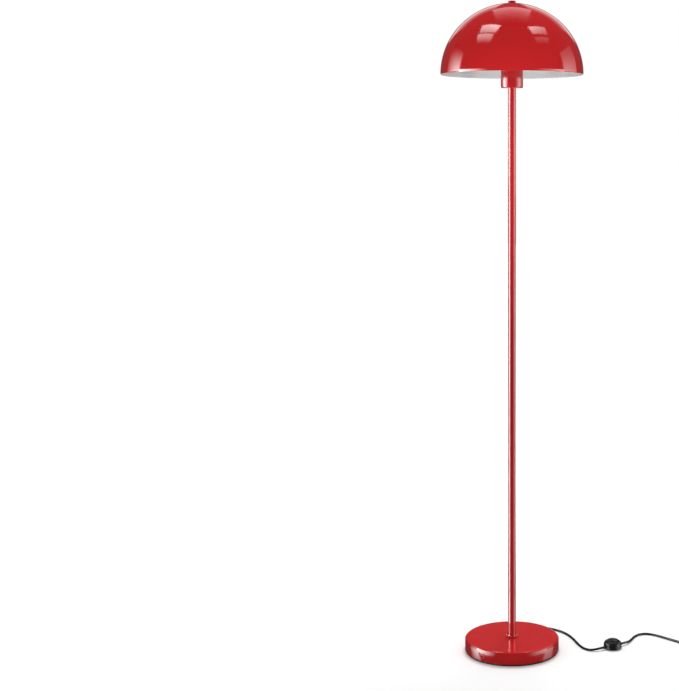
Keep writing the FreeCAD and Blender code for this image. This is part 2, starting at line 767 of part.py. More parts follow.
def make_shade():
    # A basket-handle curve: one arc up from the rim and a flatter one over the crown, which meet at
    # 45 degrees. Both radii follow from the shade's radius and height.
    share = "sqrt(0.5)"
    side = f"((shade_radius * (1 - {share}) - shade_height * {share}) / (1 - 2 * {share}))"
    crown = f"((shade_height * (1 - {share}) - shade_radius * {share}) / (1 - 2 * {share}))"
    centre = f"({RIM} + shade_height - {crown})"
    inner_crown = f"({crown} - shade_wall)"
    turned("shade", [
        ("shade_radius - shade_wall", RIM, f"{side} - shade_wall", "right"),
        ("shade_radius", RIM),
        (f"{crown} * {share}", f"{centre} + {crown} * {share}", side, "left"),
        ("crown_hole_radius", f"{centre} + sqrt({crown}^2 - crown_hole_radius^2)", crown, "left"),
        ("crown_hole_radius", f"{centre} + sqrt({inner_crown}^2 - crown_hole_radius^2)"),
        (f"{inner_crown} * {share}", f"{centre} + {inner_crown} * {share}", inner_crown, "right"),
    ])
    # Screw cap with a blind thread
    bore = "(stud_radius + fit_gap)"
    bore_top = f"({CROWN} + stud_in_finial + fit_gap)"
    top = f"({CROWN} + finial_height)"
    turned("finial", [
        (bore, CROWN),
        ("finial_radius", CROWN),
        ("finial_radius", f"{top} - finial_edge_radius"),
        ("finial_radius - finial_edge_radius", top, "finial_edge_radius", "left"),
        ("0", top),
        ("0", bore_top),
        (bore, bore_top),
    ])


# ---------------------------------------------------------------------------------------------------------
# Tubes: straight runs joined by tangent arcs


def rounded_path(points):
    """The edges of a path through points, with an arc at each corner as large as its two runs allow."""
    edges, radii = [], []
    start = points[0]
    for before, corner, after in zip(points, points[1:], points[2:]):
        incoming, outgoing = corner - before, after - corner
        turn = incoming.getAngle(outgoing)
        cut = 0.45 * min(incoming.Length, outgoing.Length)
        radii.append(cut / math.tan(turn / 2))
        first = corner - incoming.normalize() * cut
        last = corner + outgoing.normalize() * cut
        edges.append(Part.LineSegment(start, first).toShape())
        edges.append(arc_between(first, incoming, last))
        start = last
    edges.append(Part.LineSegment(start, points[-1]).toShape())
    return edges, radii


def arc_between(start, direction, end):
    """The arc that leaves start along direction and reaches end."""
    chord = end - start
    angle = direction.getAngle(chord)
    unit = V(chord).normalize()
    sideways = direction - unit * direction.dot(unit)
    sagitta = chord.Length / 2 * math.tan(angle / 2)
    middle = (start + end) * 0.5 + sideways.normalize() * sagitta
    return Part.Arc(start, middle, end).toShape()


def tube(edges, radius):
    """A round solid along tangent edges, checked against its section times its length."""
    wire = Part.Wire(edges)
    start = edges[0].Vertexes[0].Point
    direction = edges[0].tangentAt(edges[0].FirstParameter)
    section = Part.Wire(Part.Circle(start, direction, radius).toShape())
    solid = wire.makePipeShell([section], True, False)
    solid = solid if solid.ShapeType == "Solid" else Part.Solid(solid)
    expected = math.pi * radius**2 * wire.Length
    if abs(solid.Volume / expected - 1) > 0.01:
        raise RuntimeError(f"a tube's volume is {solid.Volume / expected:.3f} of its section times its length")
    return solid, wire.Length


def lead(name, points):
    """A free stretch of the mains lead through points chosen by hand."""
    edges, radii = rounded_path(points)
    solid, length = tube(edges, size("cord_radius"))
    print(f"{name}: {length:.1f} mm, arc radii " + " ".join(f"{radius:.1f}" for radius in radii))
    feature(name, solid)
    return length


def heading(degrees):
    """A level unit vector."""
    return V(math.cos(math.radians(degrees)), math.sin(math.radians(degrees)), 0)


# Free stretches of the lead. Each list runs between the ends worked out in make_lead.

ROUTE_TO_SWITCH = [
    (72.0, 124.9, 6.6),
    (83.2, 127.0, 4.2),
    (97.0, 123.6, 2.4),
    (113.0, 109.5, 2.4),
    (127.0, 88.5, 2.4),
    (137.5, 60.0, 2.4),
    (145.0, 32.0, 2.4),
    (153.2, 8.6, 2.4),
    (163.0, -5.3, 2.4),
    (174.8, -10.8, 3.4),
]
ROUTE_TO_COIL = [
    (260.0, 43.5, 3.4),
    (267.5, 62.5, 2.4),
    (275.5, 80.0, 2.4),
    (286.5, 92.3, 2.4),
    (300.5, 96.0, 2.4),
    (314.0, 92.0, 2.4),
    (328.0, 81.5, 2.4),
    (346.0, 64.6, 2.4),
    (364.0, 47.0, 2.6),
]
ROUTE_TO_PLUG = [
    (415.7, -1.2, 8.9),
    (420.2, -11.3, 7.9),
]


def make_lead():
    """The lead from the base to the plug, and the stretch that the base and the pole hold."""
    radius = size("cord_radius")
    outward = heading(size("gland_azimuth"))
    gland = outward * size("base_radius + gland_reach") + UP * size("gland_height")

    # Inside: along the base's channel, up through both threaded rods and the pole
    bend = size("inner_bend_radius")
    corner = V(0, 0, size("gland_height"))
    top = V(0, 0, size(f"{TOP_ROD_END} + 3"))
    edges = [
        Part.LineSegment(gland, corner + outward * bend).toShape(),
        arc_between(corner + outward * bend, -outward, corner + UP * bend),
        Part.LineSegment(corner + UP * bend, top).toShape(),
    ]
    solid, inside = tube(edges, radius)
    feature("inner_cord", solid)
    print(f"inner_cord: {inside:.1f} mm")

    # Two insulated wires from the lead's end to the lampholder's terminals
    wire = size("wire_radius")
    head = size(f"{INSERT_TOP} - insert_thickness - terminal_head_height")
    wires = []
    for side in (-1, 1):
        root = top + V(side * radius / 2, 0, 0)
        end = V(side * size("terminal_offset"), 0, head)
        path = [root, root + UP * 2.5, end - UP * 2.5, end]
        edges, _ = rounded_path(path)
        wires.append(tube(edges, wire)[0])
    feature("lead_wires", Part.makeCompound(wires))

    # Base to foot switch
    axis = heading(size("switch_turn"))
    middle = V(size("switch_x"), size("switch_y"), size("switch_cord_height"))
    reach = size("switch_radius + relief_reach")
    run_in, run_out = 12.0, 9.5
    gland_run, coil_run, tail_run = 11.5, 18.0, 9.0
    start = [gland, gland + outward * gland_run]
    end = [middle - axis * (reach + run_in), middle - axis * reach]
    total = lead("cord_to_switch", start + [V(*point) for point in ROUTE_TO_SWITCH] + end)

    # Foot switch to coil
    level = size("tie_sheet + seat_gap + cord_radius")
    centre = V(size("coil_x"), size("coil_y"), level)
    angle = size("coil_start_angle")
    outer = size("coil_radius")
    first = centre + heading(angle) * outer
    along = heading(angle + 90)
    start = [middle + axis * reach, middle + axis * (reach + run_out)]
    end = [first - along * (coil_run + 2 * radius), first - along * 2 * radius]
    total += lead("cord_to_coil", start + [V(*point) for point in ROUTE_TO_COIL] + end)

    # Coil: spirals in on the floor, climbs one layer in the half turn where it reverses, and spirals out
    # again on top. Each half turn is a half circle, and the climb is two arcs.
    pitch = size("turn_pitch")
    turns_in = int(size("coil_half_turns_in"))
    turns_out = int(size("coil_half_turns_out"))
    knots = [(outer - number * pitch / 2, angle + 180 * number, 0.0) for number in range(turns_in + 1)]
    inmost, angle_in, _ = knots[-1]
    inset = size("climb_inset")
    knots.append((inmost - inset, angle_in + 180, pitch))
    knots += [
        (inmost + number * pitch / 2, angle_in + 180 * (number + 1), pitch)
        for number in range(1, turns_out + 1)
    ]
    places = [centre + heading(turn) * away + UP * rise for away, turn, rise in knots]
    edges = [Part.LineSegment(first - along * 2 * radius, first).toShape()]
    for number, (here, there) in enumerate(zip(places, places[1:])):
        leaving, arriving = heading(knots[number][1] + 90), heading(knots[number + 1][1] + 90)
        if number == turns_in:
            reach = (there - here).Length / 2
            joint = ((here + leaving * reach) + (there - arriving * reach)) * 0.5
            edges.append(arc_between(here, leaving, joint))
            edges.append(reverse_arc(joint, there, arriving))
        else:
            centre_line = (here + there) * 0.5
            middle_point = centre_line + leaving * ((there - here).Length / 2)
            edges.append(Part.Arc(here, middle_point, there).toShape())
    last, leaving = places[-1], heading(knots[-1][1] + 90)
    coil_end = last + leaving * 2 * radius
    edges.append(Part.LineSegment(last, coil_end).toShape())
    solid, wound = tube(edges, radius)
    feature("cord_coil", solid)
    total += wound
    print(f"cord_coil: {wound:.1f} mm, least gap to itself {least_gap(edges, radius):.2f} mm")

    # Coil to plug
    tip = V(size("plug_x"), size("plug_y"), size("plug_thickness / 2"))
    into = heading(size("plug_turn"))
    start = [coil_end, coil_end + leaving * tail_run]
    end = [tip - into * tail_run, tip]
    total += lead("cord_tail", start + [V(*point) for point in ROUTE_TO_PLUG] + end)
    print(f"lead outside the lamp, without the switch: {total:.1f} mm")


def reverse_arc(start, end, arriving):
    """The arc from start that reaches end along the direction arriving."""
    back = arc_between(end, -arriving, start)
    middle = back.valueAt((back.FirstParameter + back.LastParameter) / 2)
    return Part.Arc(start, middle, end).toShape()


def least_gap(edges, radius):
    """The least clear distance between stretches of a tube that are over a half turn apart."""
    points, lengths, done = [], [], 0.0
    for edge in edges:
        count = max(int(edge.Length / 2), 2)
        for number in range(count):
            share = number / count
            points.append(edge.valueAt(edge.getParameterByLength(edge.Length * share)))
            lengths.append(done + edge.Length * share)
        done += edge.Length
    apart = 8 * radius
    return min(
        (points[one] - points[other]).Length - 2 * radius
        for one in range(len(points))
        for other in range(one)
        if lengths[one] - lengths[other] > apart
    )


def make_tie():
    """A strap round the coil's turns, a flat loop with rounded corners."""
    body = new_body("coil_tie")
    inmost = "(coil_radius - coil_half_turns_in * turn_pitch / 2 - cord_radius)"
    near = f"(sqrt({inmost}^2 - tie_width^2 / 4) - seat_gap)"
    far = "(coil_radius - turn_pitch / 2 + cord_radius + seat_gap)"
    roof = "(tie_sheet + 2 * seat_gap + 2 * cord_radius + turn_pitch)"
    sketch = new_sketch(body, "XZ_Plane")
    draw_profile(sketch, rounded_rectangle(
        f"{near} - tie_sheet", "0", f"{far} + tie_sheet", f"{roof} + tie_sheet", "(tie_corner)"))
    draw_profile(sketch, rounded_rectangle(near, "tie_sheet", far, roof, "(tie_corner - tie_sheet)"))
    pad(body, sketch, "tie_width", midplane=True)
    place(body, "coil_x", "coil_y", "0", "coil_start_angle + 180")


def rounded_rectangle(low_x, low_y, high_x, high_y, corner):
    """The corners of an upright rectangle whose four corners are arcs."""
    return [
        (f"{high_x} - {corner}", low_y),
        (high_x, f"{low_y} + {corner}", corner, "left"),
        (high_x, f"{high_y} - {corner}"),
        (f"{high_x} - {corner}", high_y, corner, "left"),
        (f"{low_x} + {corner}", high_y),
        (low_x, f"{high_y} - {corner}", corner, "left"),
        (low_x, f"{low_y} + {corner}"),
        (f"{low_x} + {corner}", low_y, corner, "left"),
    ]


# ---------------------------------------------------------------------------------------------------------
# Foot switch, drawn about its own centre with the lead along X


def at_switch(item, height="0"):
    """Puts a piece of the foot switch at its place on the floor."""
    return place(item, "switch_x", "switch_y", height, "switch_turn")


def make_switch():
    inner = "(switch_radius - switch_wall)"
    foot = "switch_foot_height"
    floor = "(switch_foot_height + switch_floor)"
    at_switch(ring("switch_foot", "switch_foot_radius", "switch_foot_bore", "0", foot))

    base = turned("switch_base", [
        ("0", foot),
        ("switch_radius - switch_edge_radius", foot),
        ("switch_radius", f"{foot} + switch_edge_radius", "switch_edge_radius", "left"),
        ("switch_radius", "switch_split"),
        (inner, "switch_split"),
        (inner, floor),
        ("0", floor),
    ])
    sketch = new_sketch(base, "XY_Plane", floor)
    for side in ("-", ""):
        draw_circle(sketch, "switch_post_radius", "0", f"{side}switch_post_offset")
    pad(base, sketch, f"switch_split - {floor}")
    sketch = new_sketch(base, "XY_Plane", "0")
    for side in ("-", ""):
        draw_circle(sketch, "switch_screw_radius + fit_gap", "0", f"{side}switch_post_offset")
    pocket(base, sketch, "switch_split + 1")
    sketch = new_sketch(base, "YZ_Plane", "-2 * switch_radius")
    draw_circle(sketch, "relief_radius + fit_gap", "0", "switch_cord_height")
    pocket(base, sketch, "4 * switch_radius")
    at_switch(base)

    # The upper shell closes in over the flange of the button.
    lip = "switch_opening_radius"
    rise = "(switch_crown - switch_split)"
    cover = turned("switch_cover", [
        ("switch_radius", "switch_split"),
        (f"{lip} + switch_lip", "switch_crown", "switch_dome_radius", "left"),
        (lip, "switch_crown"),
        (lip, "switch_crown - switch_wall"),
        (f"{lip} + switch_lip", "switch_crown - switch_wall"),
        (inner, "switch_split", "switch_dome_radius - switch_wall", "right"),
    ])
    sketch = new_sketch(cover, "XY_Plane", "switch_split")
    for side in ("-", ""):
        draw_circle(sketch, "switch_post_radius", "0", f"{side}switch_post_offset")
    pad(cover, sketch, f"{rise} / 2")
    sketch = new_sketch(cover, "XY_Plane", "switch_split")
    for side in ("-", ""):
        draw_circle(sketch, "switch_screw_radius + fit_gap", "0", f"{side}switch_post_offset")
    pocket(cover, sketch, f"{rise} / 2 - switch_post_roof")
    at_switch(cover)

    one = screw("switch_screw", "switch_screw_radius", "switch_screw_head", "switch_foot_height / 2",
                "switch_screw_length", "(switch_foot_height / 2)")
    place(one, "0", "switch_post_offset")
    at_switch(pair("switch_screws", one, V(0, 1, 0)))

    # Button: a hollow cap with a flange below the cover's lip and a stem for the spring
    edge = "(switch_opening_radius - button_gap)"
    hollow = f"({edge} - button_wall)"
    flange = f"({edge} + button_flange)"
    flange_foot = f"({FLANGE_TOP} - button_flange_height)"
    stem_foot = "(block_top + button_travel + 2 * seat_gap)"
    rise = "(button_top - button_edge_height)"
    at_switch(turned("switch_button", [
        ("0", stem_foot),
        ("button_stem_radius", stem_foot),
        ("button_stem_radius", BUTTON_CEILING),
        (hollow, BUTTON_CEILING),
        (hollow, flange_foot),
        (flange, flange_foot),
        (flange, FLANGE_TOP),
        (edge, FLANGE_TOP),
        (edge, "button_edge_height"),
        ("0", "button_top", f"({edge}^2 + {rise}^2) / (2 * {rise})", "left"),
    ]))

    block = new_body("contact_block")
    sketch = new_sketch(block, "XY_Plane", floor)
    long, wide = "(block_length / 2)", "(block_width / 2)"
    draw_profile(sketch, rectangle(f"-{long}", f"-{wide}", long, wide))
    pad(block, sketch, f"block_top - {floor}")
    at_switch(block)
    one = turned("switch_terminal", [
        ("0", "block_top"),
        ("terminal_head_radius", "block_top"),
        ("terminal_head_radius", "block_top + switch_terminal_height"),
        ("0", "block_top + switch_terminal_height"),
    ])
    place(one, "switch_terminal_offset")
    at_switch(pair("switch_terminals", one, V(1, 0, 0)))

    # One relief is drawn on +X, and the other is turned half round.
    flange_face = f"(sqrt({inner}^2 - relief_flange_radius^2) - fit_gap)"
    for name, turn in (("switch_relief_in", "switch_turn + 180"), ("switch_relief_out", "switch_turn")):
        relief = turned(name, [
            (f"{flange_face} - relief_flange_thickness", "0"),
            ("switch_radius + relief_reach", "0"),
            ("switch_radius + relief_reach", "relief_tip_radius"),
            ("switch_radius + relief_shoulder", "relief_radius"),
            (flange_face, "relief_radius"),
            (flange_face, "relief_flange_radius"),
            (f"{flange_face} - relief_flange_thickness", "relief_flange_radius"),
        ], "H_Axis")
        place(relief, "switch_x", "switch_y", "switch_cord_height", turn)

    # Return spring between the block and the button's ceiling
    wire = size("spring_wire") / 2
    rise = size(f"{BUTTON_CEILING} - block_top - 2 * seat_gap") - 2 * wire
    turn_height = rise / size("spring_turns")
    helix = Part.makeHelix(turn_height, rise, size("spring_radius"))
    section = Part.Wire(Part.Circle(V(size("spring_radius"), 0, 0), V(0, 1, 0), wire).toShape())
    spring = feature("switch_spring", Part.Wire(helix.Edges).makePipeShell([section], True, True))
    spring.Placement = FreeCAD.Placement(
        V(size("switch_x"), size("switch_y"), size("block_top + seat_gap") + wire),
        FreeCAD.Rotation(UP, size("switch_turn")))


# ---------------------------------------------------------------------------------------------------------
# Flat two-pin plug, drawn with its tail at the origin and its pins towards +X


def at_plug(item):
    """Puts a piece of the plug at its place beside the coil."""
    return place(item, "plug_x", "plug_y", "plug_thickness / 2", "plug_turn")


def make_plug():
    tail = "plug_relief_length"
    groove = "(plug_relief_length / 6)"
    slope = "((plug_relief_radius - plug_relief_tip) / plug_relief_length)"
    outline = [("0", "0"), ("0", "plug_relief_tip")]
    for number in range(1, 5):
        place_along = f"({number} * {groove})"
        surface = f"(plug_relief_tip + {place_along} * {slope})"
        outline += [
            (place_along, surface),
            (place_along, f"{surface} - plug_groove_depth"),
            (f"{place_along} + {groove} / 2", f"{surface} - plug_groove_depth"),
            (f"{place_along} + {groove} / 2", surface),
        ]
    outline += [(tail, "plug_relief_radius"), (tail, "0")]
    at_plug(turned("plug_relief", outline, "H_Axis"))

    body = new_body("plug_body")
    sketch = new_sketch(body, "XY_Plane")
    front = f"({tail} + plug_length)"
    wide, narrow = "(plug_width / 2)", "(plug_tail_width / 2)"
    draw_profile(sketch, [
        (tail, f"-{narrow}"),
        (f"{tail} + plug_shoulder", f"-{wide}"),
        (front, f"-{wide}"),
        (front, wide),
        (f"{tail} + plug_shoulder", wide),
        (tail, narrow),
    ])
    block = pad(body, sketch, "plug_thickness", midplane=True)
    doc.recompute()
    rounding = body.newObject("PartDesign::Fillet", "plug_body_fillet")
    rounding.Base = (block, [
        f"Edge{number}"
        for number, edge in enumerate(block.Shape.Edges, start=1)
        if edge.BoundBox.XMax < size(front) - 0.1 or edge.BoundBox.XLength > 1
    ])
    rounding.setExpression("Radius", sized("plug_edge_radius"))
    body.Tip = rounding
    sketch = new_sketch(body, "YZ_Plane", f"{front} - pin_depth")
    for side in ("-", ""):
        draw_circle(sketch, "pin_core_radius + fit_gap", f"{side}pin_spacing / 2")
    pocket(body, sketch, "2 * pin_depth")
    at_plug(body)

    # Each pin has a thin core inside its insulating sleeve and a full-width tip with a rounded end.
    root, sleeve_end = f"({front} - pin_depth)", f"({front} + pin_sleeve_length)"
    end = f"({front} + pin_length)"
    pin = turned("plug_pin", [
        (root, "0"),
        (end, "0"),
        (f"{end} - pin_radius", "pin_radius", "pin_radius", "left"),
        (sleeve_end, "pin_radius"),
        (sleeve_end, "pin_core_radius"),
        (root, "pin_core_radius"),
    ], "H_Axis")
    place(pin, "0", "pin_spacing / 2")
    at_plug(pair("plug_pins", pin, V(0, 1, 0)))
    sleeve = turned("pin_sleeve", [
        (front, "pin_core_radius + fit_gap"),
        (sleeve_end, "pin_core_radius + fit_gap"),
        (sleeve_end, "pin_radius - fit_gap"),
        (front, "pin_radius - fit_gap"),
    ], "H_Axis")
    place(sleeve, "0", "pin_spacing / 2")
    at_plug(pair("pin_sleeves", sleeve, V(0, 1, 0)))


# ---------------------------------------------------------------------------------------------------------


def check_and_write():
    """Stops if a feature failed, then writes each sub-part to its own file."""
    doc.recompute()
    for item in doc.Objects:
        if "Invalid" in item.State or "Error" in item.State:
            raise RuntimeError(f"{item.Name} failed: {item.State}")
    for item in parts:
        if item.Shape.isNull() or not item.Shape.isValid() or not item.Shape.Solids:
            raise RuntimeError(f"{item.Label} has no valid solid")
    os.makedirs("parts", exist_ok=True)
    for item in parts:
        item.Shape.exportStep(f"parts/{item.Label}.step")
    print(f"{len(parts)} sub-parts, {sum(len(item.Shape.Solids) for item in parts)} solids")


make_base()
make_cord_entry()
make_pole()
make_cup()
make_lampholder()
make_bulb()
make_carrier()
make_shade()
make_switch()
make_lead()
make_tie()
make_plug()
check_and_write()
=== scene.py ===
"""Studio scene of a mushroom floor lamp in glossy red enamel, with its foot switch and lead."""

import logging
import math
from collections.abc import Callable, Iterable
from dataclasses import dataclass, field
from enum import Enum
from functools import cache

import bpy
from mathutils import Matrix, Vector


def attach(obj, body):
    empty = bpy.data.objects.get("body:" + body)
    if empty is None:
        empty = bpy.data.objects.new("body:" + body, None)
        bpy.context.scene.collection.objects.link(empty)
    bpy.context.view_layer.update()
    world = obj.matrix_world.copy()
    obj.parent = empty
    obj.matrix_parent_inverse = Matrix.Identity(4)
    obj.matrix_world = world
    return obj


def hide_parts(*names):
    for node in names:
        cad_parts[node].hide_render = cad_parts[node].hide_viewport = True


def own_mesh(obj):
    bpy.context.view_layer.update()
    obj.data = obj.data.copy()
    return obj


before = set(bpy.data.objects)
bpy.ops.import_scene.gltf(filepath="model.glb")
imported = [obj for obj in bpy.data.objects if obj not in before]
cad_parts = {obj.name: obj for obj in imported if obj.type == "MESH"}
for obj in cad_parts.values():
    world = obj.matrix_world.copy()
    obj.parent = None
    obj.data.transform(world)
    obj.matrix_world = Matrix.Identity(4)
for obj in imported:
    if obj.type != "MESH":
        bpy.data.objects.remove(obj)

log = logging.getLogger("lamp")

Pair = tuple[float, float]
Point = tuple[float, float, float]
Colour = tuple[float, float, float, float]

LAMP = "lamp"
WHOLE = (0.0, 1.0)
NOISE_SPAN = (0.3, 0.7)
MERGE_DISTANCE = 0.00002
SMOOTH_BELOW = math.radians(40)
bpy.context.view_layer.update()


# ---------------------------------------------------------------------------------------------------------
# Shader graphs


class Graph:
    """A material's node tree, with short calls for the nodes that the finishes share."""

    def __init__(self, name: str) -> None:
        """Starts an empty material.

        Args:
            name: The material's name.
        """
        self.material = bpy.data.materials.new(name)
        self.material.use_nodes = True
        self.tree = self.material.node_tree
        self.tree.nodes.clear()
        self.output = self.tree.nodes.new("ShaderNodeOutputMaterial")
        self.place = self.tree.nodes.new("ShaderNodeTexCoord").outputs["Object"]

    def link(self, source: bpy.types.NodeSocket, target: bpy.types.NodeSocket) -> None:
        """Joins two sockets."""
        self.tree.links.new(source, target)

    def node(self, kind: str, **settings: object) -> bpy.types.Node:
        """Adds a node and sets its properties.

        Args:
            kind: The node's type name.
            settings: Properties to set on it.

        Returns:
            The new node.
        """
        made = self.tree.nodes.new(kind)
        for key, value in settings.items():
            setattr(made, key, value)
        return made

    def principled(self, **values: object) -> bpy.types.Node:
        """Adds the surface shader, with constants straight on its sockets.

        Args:
            values: Socket names, with underscores for spaces, and their constants.

        Returns:
            The Principled node, joined to the output.
        """
        shader = self.tree.nodes.new("ShaderNodeBsdfPrincipled")
        for key, value in values.items():
            shader.inputs[key.replace("_", " ")].default_value = value
        self.link(shader.outputs[0], self.output.inputs["Surface"])
        return shader

    def stretched(self, scale: Point) -> bpy.types.NodeSocket:
        """Scales the Object coordinates.

        Args:
            scale: Scale along each axis.

        Returns:
            The scaled coordinates.
        """
        mapping = self.node("ShaderNodeMapping")
        mapping.inputs["Scale"].default_value = scale
        self.link(self.place, mapping.inputs["Vector"])
        return mapping.outputs[0]

    def noise(self, scale: float, detail: float = 3.0, stretch: Point | None = None) -> bpy.types.NodeSocket:
        """Adds a noise pattern on Object coordinates.

        Args:
            scale: Repeats per metre.
            detail: Octaves of detail.
            stretch: Scale along each axis, if it isn't even.

        Returns:
            The pattern's value, from 0 to 1.
        """
        texture = self.node("ShaderNodeTexNoise")
        texture.inputs["Scale"].default_value = scale
        texture.inputs["Detail"].default_value = detail
        self.link(self.stretched(stretch) if stretch else self.place, texture.inputs["Vector"])
        return texture.outputs[0]

    def mapped(
        self, value: bpy.types.NodeSocket, span: Pair, result: Pair, **settings: object,
    ) -> bpy.types.NodeSocket:
        """Maps a value from one span to another.

        Args:
            value: The value to map.
            span: The span it comes from.
            result: What the span's two ends give.
            settings: Properties of the node.

        Returns:
            The mapped value.
        """
        ranged = self.node("ShaderNodeMapRange", **settings)
        for socket, number in zip(("From Min", "From Max", "To Min", "To Max"), (*span, *result)):
            ranged.inputs[socket].default_value = number
        self.link(value, ranged.inputs["Value"])
        return ranged.outputs[0]

    def spread(self, value: bpy.types.NodeSocket, low: float, high: float) -> bpy.types.NodeSocket:
        """Maps the span where noise mostly lies to another one."""
        return self.mapped(value, NOISE_SPAN, (low, high))

    def ramp(self, value: bpy.types.NodeSocket, span: Pair, result: Pair) -> bpy.types.NodeSocket:
        """A smooth step of a value over a span, from the first result to the second."""
        return self.mapped(value, span, result, interpolation_type="SMOOTHSTEP")

    def combined(
        self, operation: str, first: bpy.types.NodeSocket, second: bpy.types.NodeSocket,
    ) -> bpy.types.NodeSocket:
        """Puts two values together.

        Args:
            operation: The math node's operation.
            first: One value.
            second: The other.

        Returns:
            The result.
        """
        both = self.node("ShaderNodeMath", operation=operation)
        self.link(first, both.inputs[0])
        self.link(second, both.inputs[1])
        return both.outputs[0]

    def seen_straight(self, rays: bpy.types.Node) -> bpy.types.NodeSocket:
        """1 for rays that come straight from the camera or through glass, from a Light Path node."""
        return self.combined("MAXIMUM", rays.outputs["Is Camera Ray"], rays.outputs["Is Transmission Ray"])

    def matt(self, grey: float) -> bpy.types.Node:
        """Adds a diffuse shader.

        Args:
            grey: Its grey.

        Returns:
            The shader.
        """
        shader = self.node("ShaderNodeBsdfDiffuse")
        shader.inputs["Color"].default_value = (grey, grey, grey, 1.0)
        return shader

    def mixed(
        self, share: bpy.types.NodeSocket, first: bpy.types.Node, second: bpy.types.Node,
    ) -> bpy.types.Node:
        """Mixes two shaders.

        Args:
            share: The second shader's share.
            first: One shader.
            second: The other.

        Returns:
            The mix.
        """
        mix = self.node("ShaderNodeMixShader")
        self.link(share, mix.inputs["Fac"])
        self.link(first.outputs[0], mix.inputs[1])
        self.link(second.outputs[0], mix.inputs[2])
        return mix

    def blend(self, share: bpy.types.NodeSocket, first: Colour, second: Colour) -> bpy.types.NodeSocket:
        """Mixes two colours.

        Args:
            share: The second colour's share, from 0 to 1.
            first: One colour.
            second: The other.

        Returns:
            The mix.
        """
        mix = self.node("ShaderNodeMix", data_type="RGBA")
        mix.inputs[6].default_value = first
        mix.inputs[7].default_value = second
        self.link(share, mix.inputs["Factor"])
        return mix.outputs[2]

    def bump(
        self, shader: bpy.types.Node, height: bpy.types.NodeSocket, depth: float, strength: float,
    ) -> None:
        """Adds fine relief to a shader.

        Args:
            shader: The Principled node.
            height: The relief's pattern.
            depth: The relief's depth in metres.
            strength: Share of the relief that shows.
        """
        relief = self.node("ShaderNodeBump")
        relief.inputs["Distance"].default_value = depth
        relief.inputs["Strength"].default_value = strength
        self.link(height, relief.inputs["Height"])
        self.link(relief.outputs[0], shader.inputs["Normal"])


class WorldGraph(Graph):
    """The world's node tree, with the same calls."""

    def __init__(self, world: bpy.types.World) -> None:
        """Starts an empty tree.

        Args:
            world: The world that it lights.
        """
        self.tree = world.node_tree
        self.tree.nodes.clear()
        self.output = self.tree.nodes.new("ShaderNodeOutputWorld")

    def background(self, strength: bpy.types.NodeSocket | None = None) -> bpy.types.Node:
        """Adds a white background.

        Args:
            strength: Its strength, which is 1 if none is given.

        Returns:
            The background.
        """
        white = self.node("ShaderNodeBackground")
        white.inputs["Color"].default_value = (1.0, 1.0, 1.0, 1.0)
        white.inputs["Strength"].default_value = 1.0
        if strength:
            self.link(strength, white.inputs["Strength"])
        return white


def srgb(red: int, green: int, blue: int) -> Colour:
    """A screen colour as the linear one that shaders take.

    Args:
        red: 0 to 255.
        green: 0 to 255.
        blue: 0 to 255.

    Returns:
        Linear red, green and blue, and an alpha of 1.
    """
    def linear(value: int) -> float:
        """One channel, from 0 to 255, made linear."""
        share = value / 255
        return share / 12.92 if share <= 0.04045 else ((share + 0.055) / 1.055) ** 2.4

    return (linear(red), linear(green), linear(blue), 1.0)


def shaded(colour: Colour, share: float) -> Colour:
    """A colour made lighter or darker by a share."""
    return (*(min(channel * share, 1.0) for channel in colour[:3]), 1.0)


@dataclass(frozen=True)
class Enamel:
    """Stoved enamel on pressed steel: even colour, a smooth coat and a trace of orange peel."""

    name: str
    colour: Colour
    roughness: float = 0.1
    coat: float = 0.5
    peel: float = 0.02

    def make(self) -> bpy.types.Material:
        """Builds the material.

        Returns:
            The new material.
        """
        graph = Graph(self.name)
        shader = graph.principled(Coat_Weight=self.coat, Coat_Roughness=0.03, IOR=1.5)
        cloud = graph.spread(graph.noise(9.0, detail=2.0), 0.0, 1.0)
        graph.link(
            graph.blend(cloud, shaded(self.colour, 0.97), shaded(self.colour, 1.03)),
            shader.inputs["Base Color"])
        smear = graph.noise(35.0, detail=4.0)
        graph.link(
            graph.spread(smear, self.roughness * 0.85, self.roughness * 1.2), shader.inputs["Roughness"])
        graph.bump(shader, graph.noise(420.0, detail=2.0), 0.0002, self.peel)
        return graph.material


@dataclass(frozen=True)
class Plated:
    """Turned or pressed metal with a plated skin and fine tool lines round its axis."""

    name: str
    colour: Colour
    roughness: float

    def make(self) -> bpy.types.Material:
        """Builds the material.

        Returns:
            The new material.
        """
        graph = Graph(self.name)
        shader = graph.principled(Metallic=1.0)
        stain = graph.spread(graph.noise(60.0, detail=4.0), 0.0, 1.0)
        graph.link(graph.blend(stain, shaded(self.colour, 0.86), self.colour), shader.inputs["Base Color"])
        graph.link(
            graph.spread(graph.noise(240.0, detail=5.0), self.roughness * 0.7, self.roughness * 1.4),
            shader.inputs["Roughness"])
        graph.bump(shader, graph.noise(30.0, detail=6.0, stretch=(1.0, 1.0, 90.0)), 0.00004, 0.35)
        return graph.material


@dataclass(frozen=True)
class Moulded:
    """Injection-moulded plastic or rubber with a fine spark-eroded grain."""

    name: str
    colour: Colour
    roughness: float
    grain: float = 900.0
    depth: float = 0.00006

    def make(self) -> bpy.types.Material:
        """Builds the material.

        Returns:
            The new material.
        """
        graph = Graph(self.name)
        shader = graph.principled(IOR=1.48)
        dust = graph.spread(graph.noise(45.0, detail=5.0), 0.0, 1.0)
        graph.link(
            graph.blend(dust, shaded(self.colour, 0.88), shaded(self.colour, 1.14)),
            shader.inputs["Base Color"])
        graph.link(
            graph.spread(graph.noise(130.0, detail=3.0), self.roughness * 0.88, self.roughness * 1.12),
            shader.inputs["Roughness"])
        graph.bump(shader, graph.noise(self.grain, 2.0), self.depth, 0.5)
        return graph.material


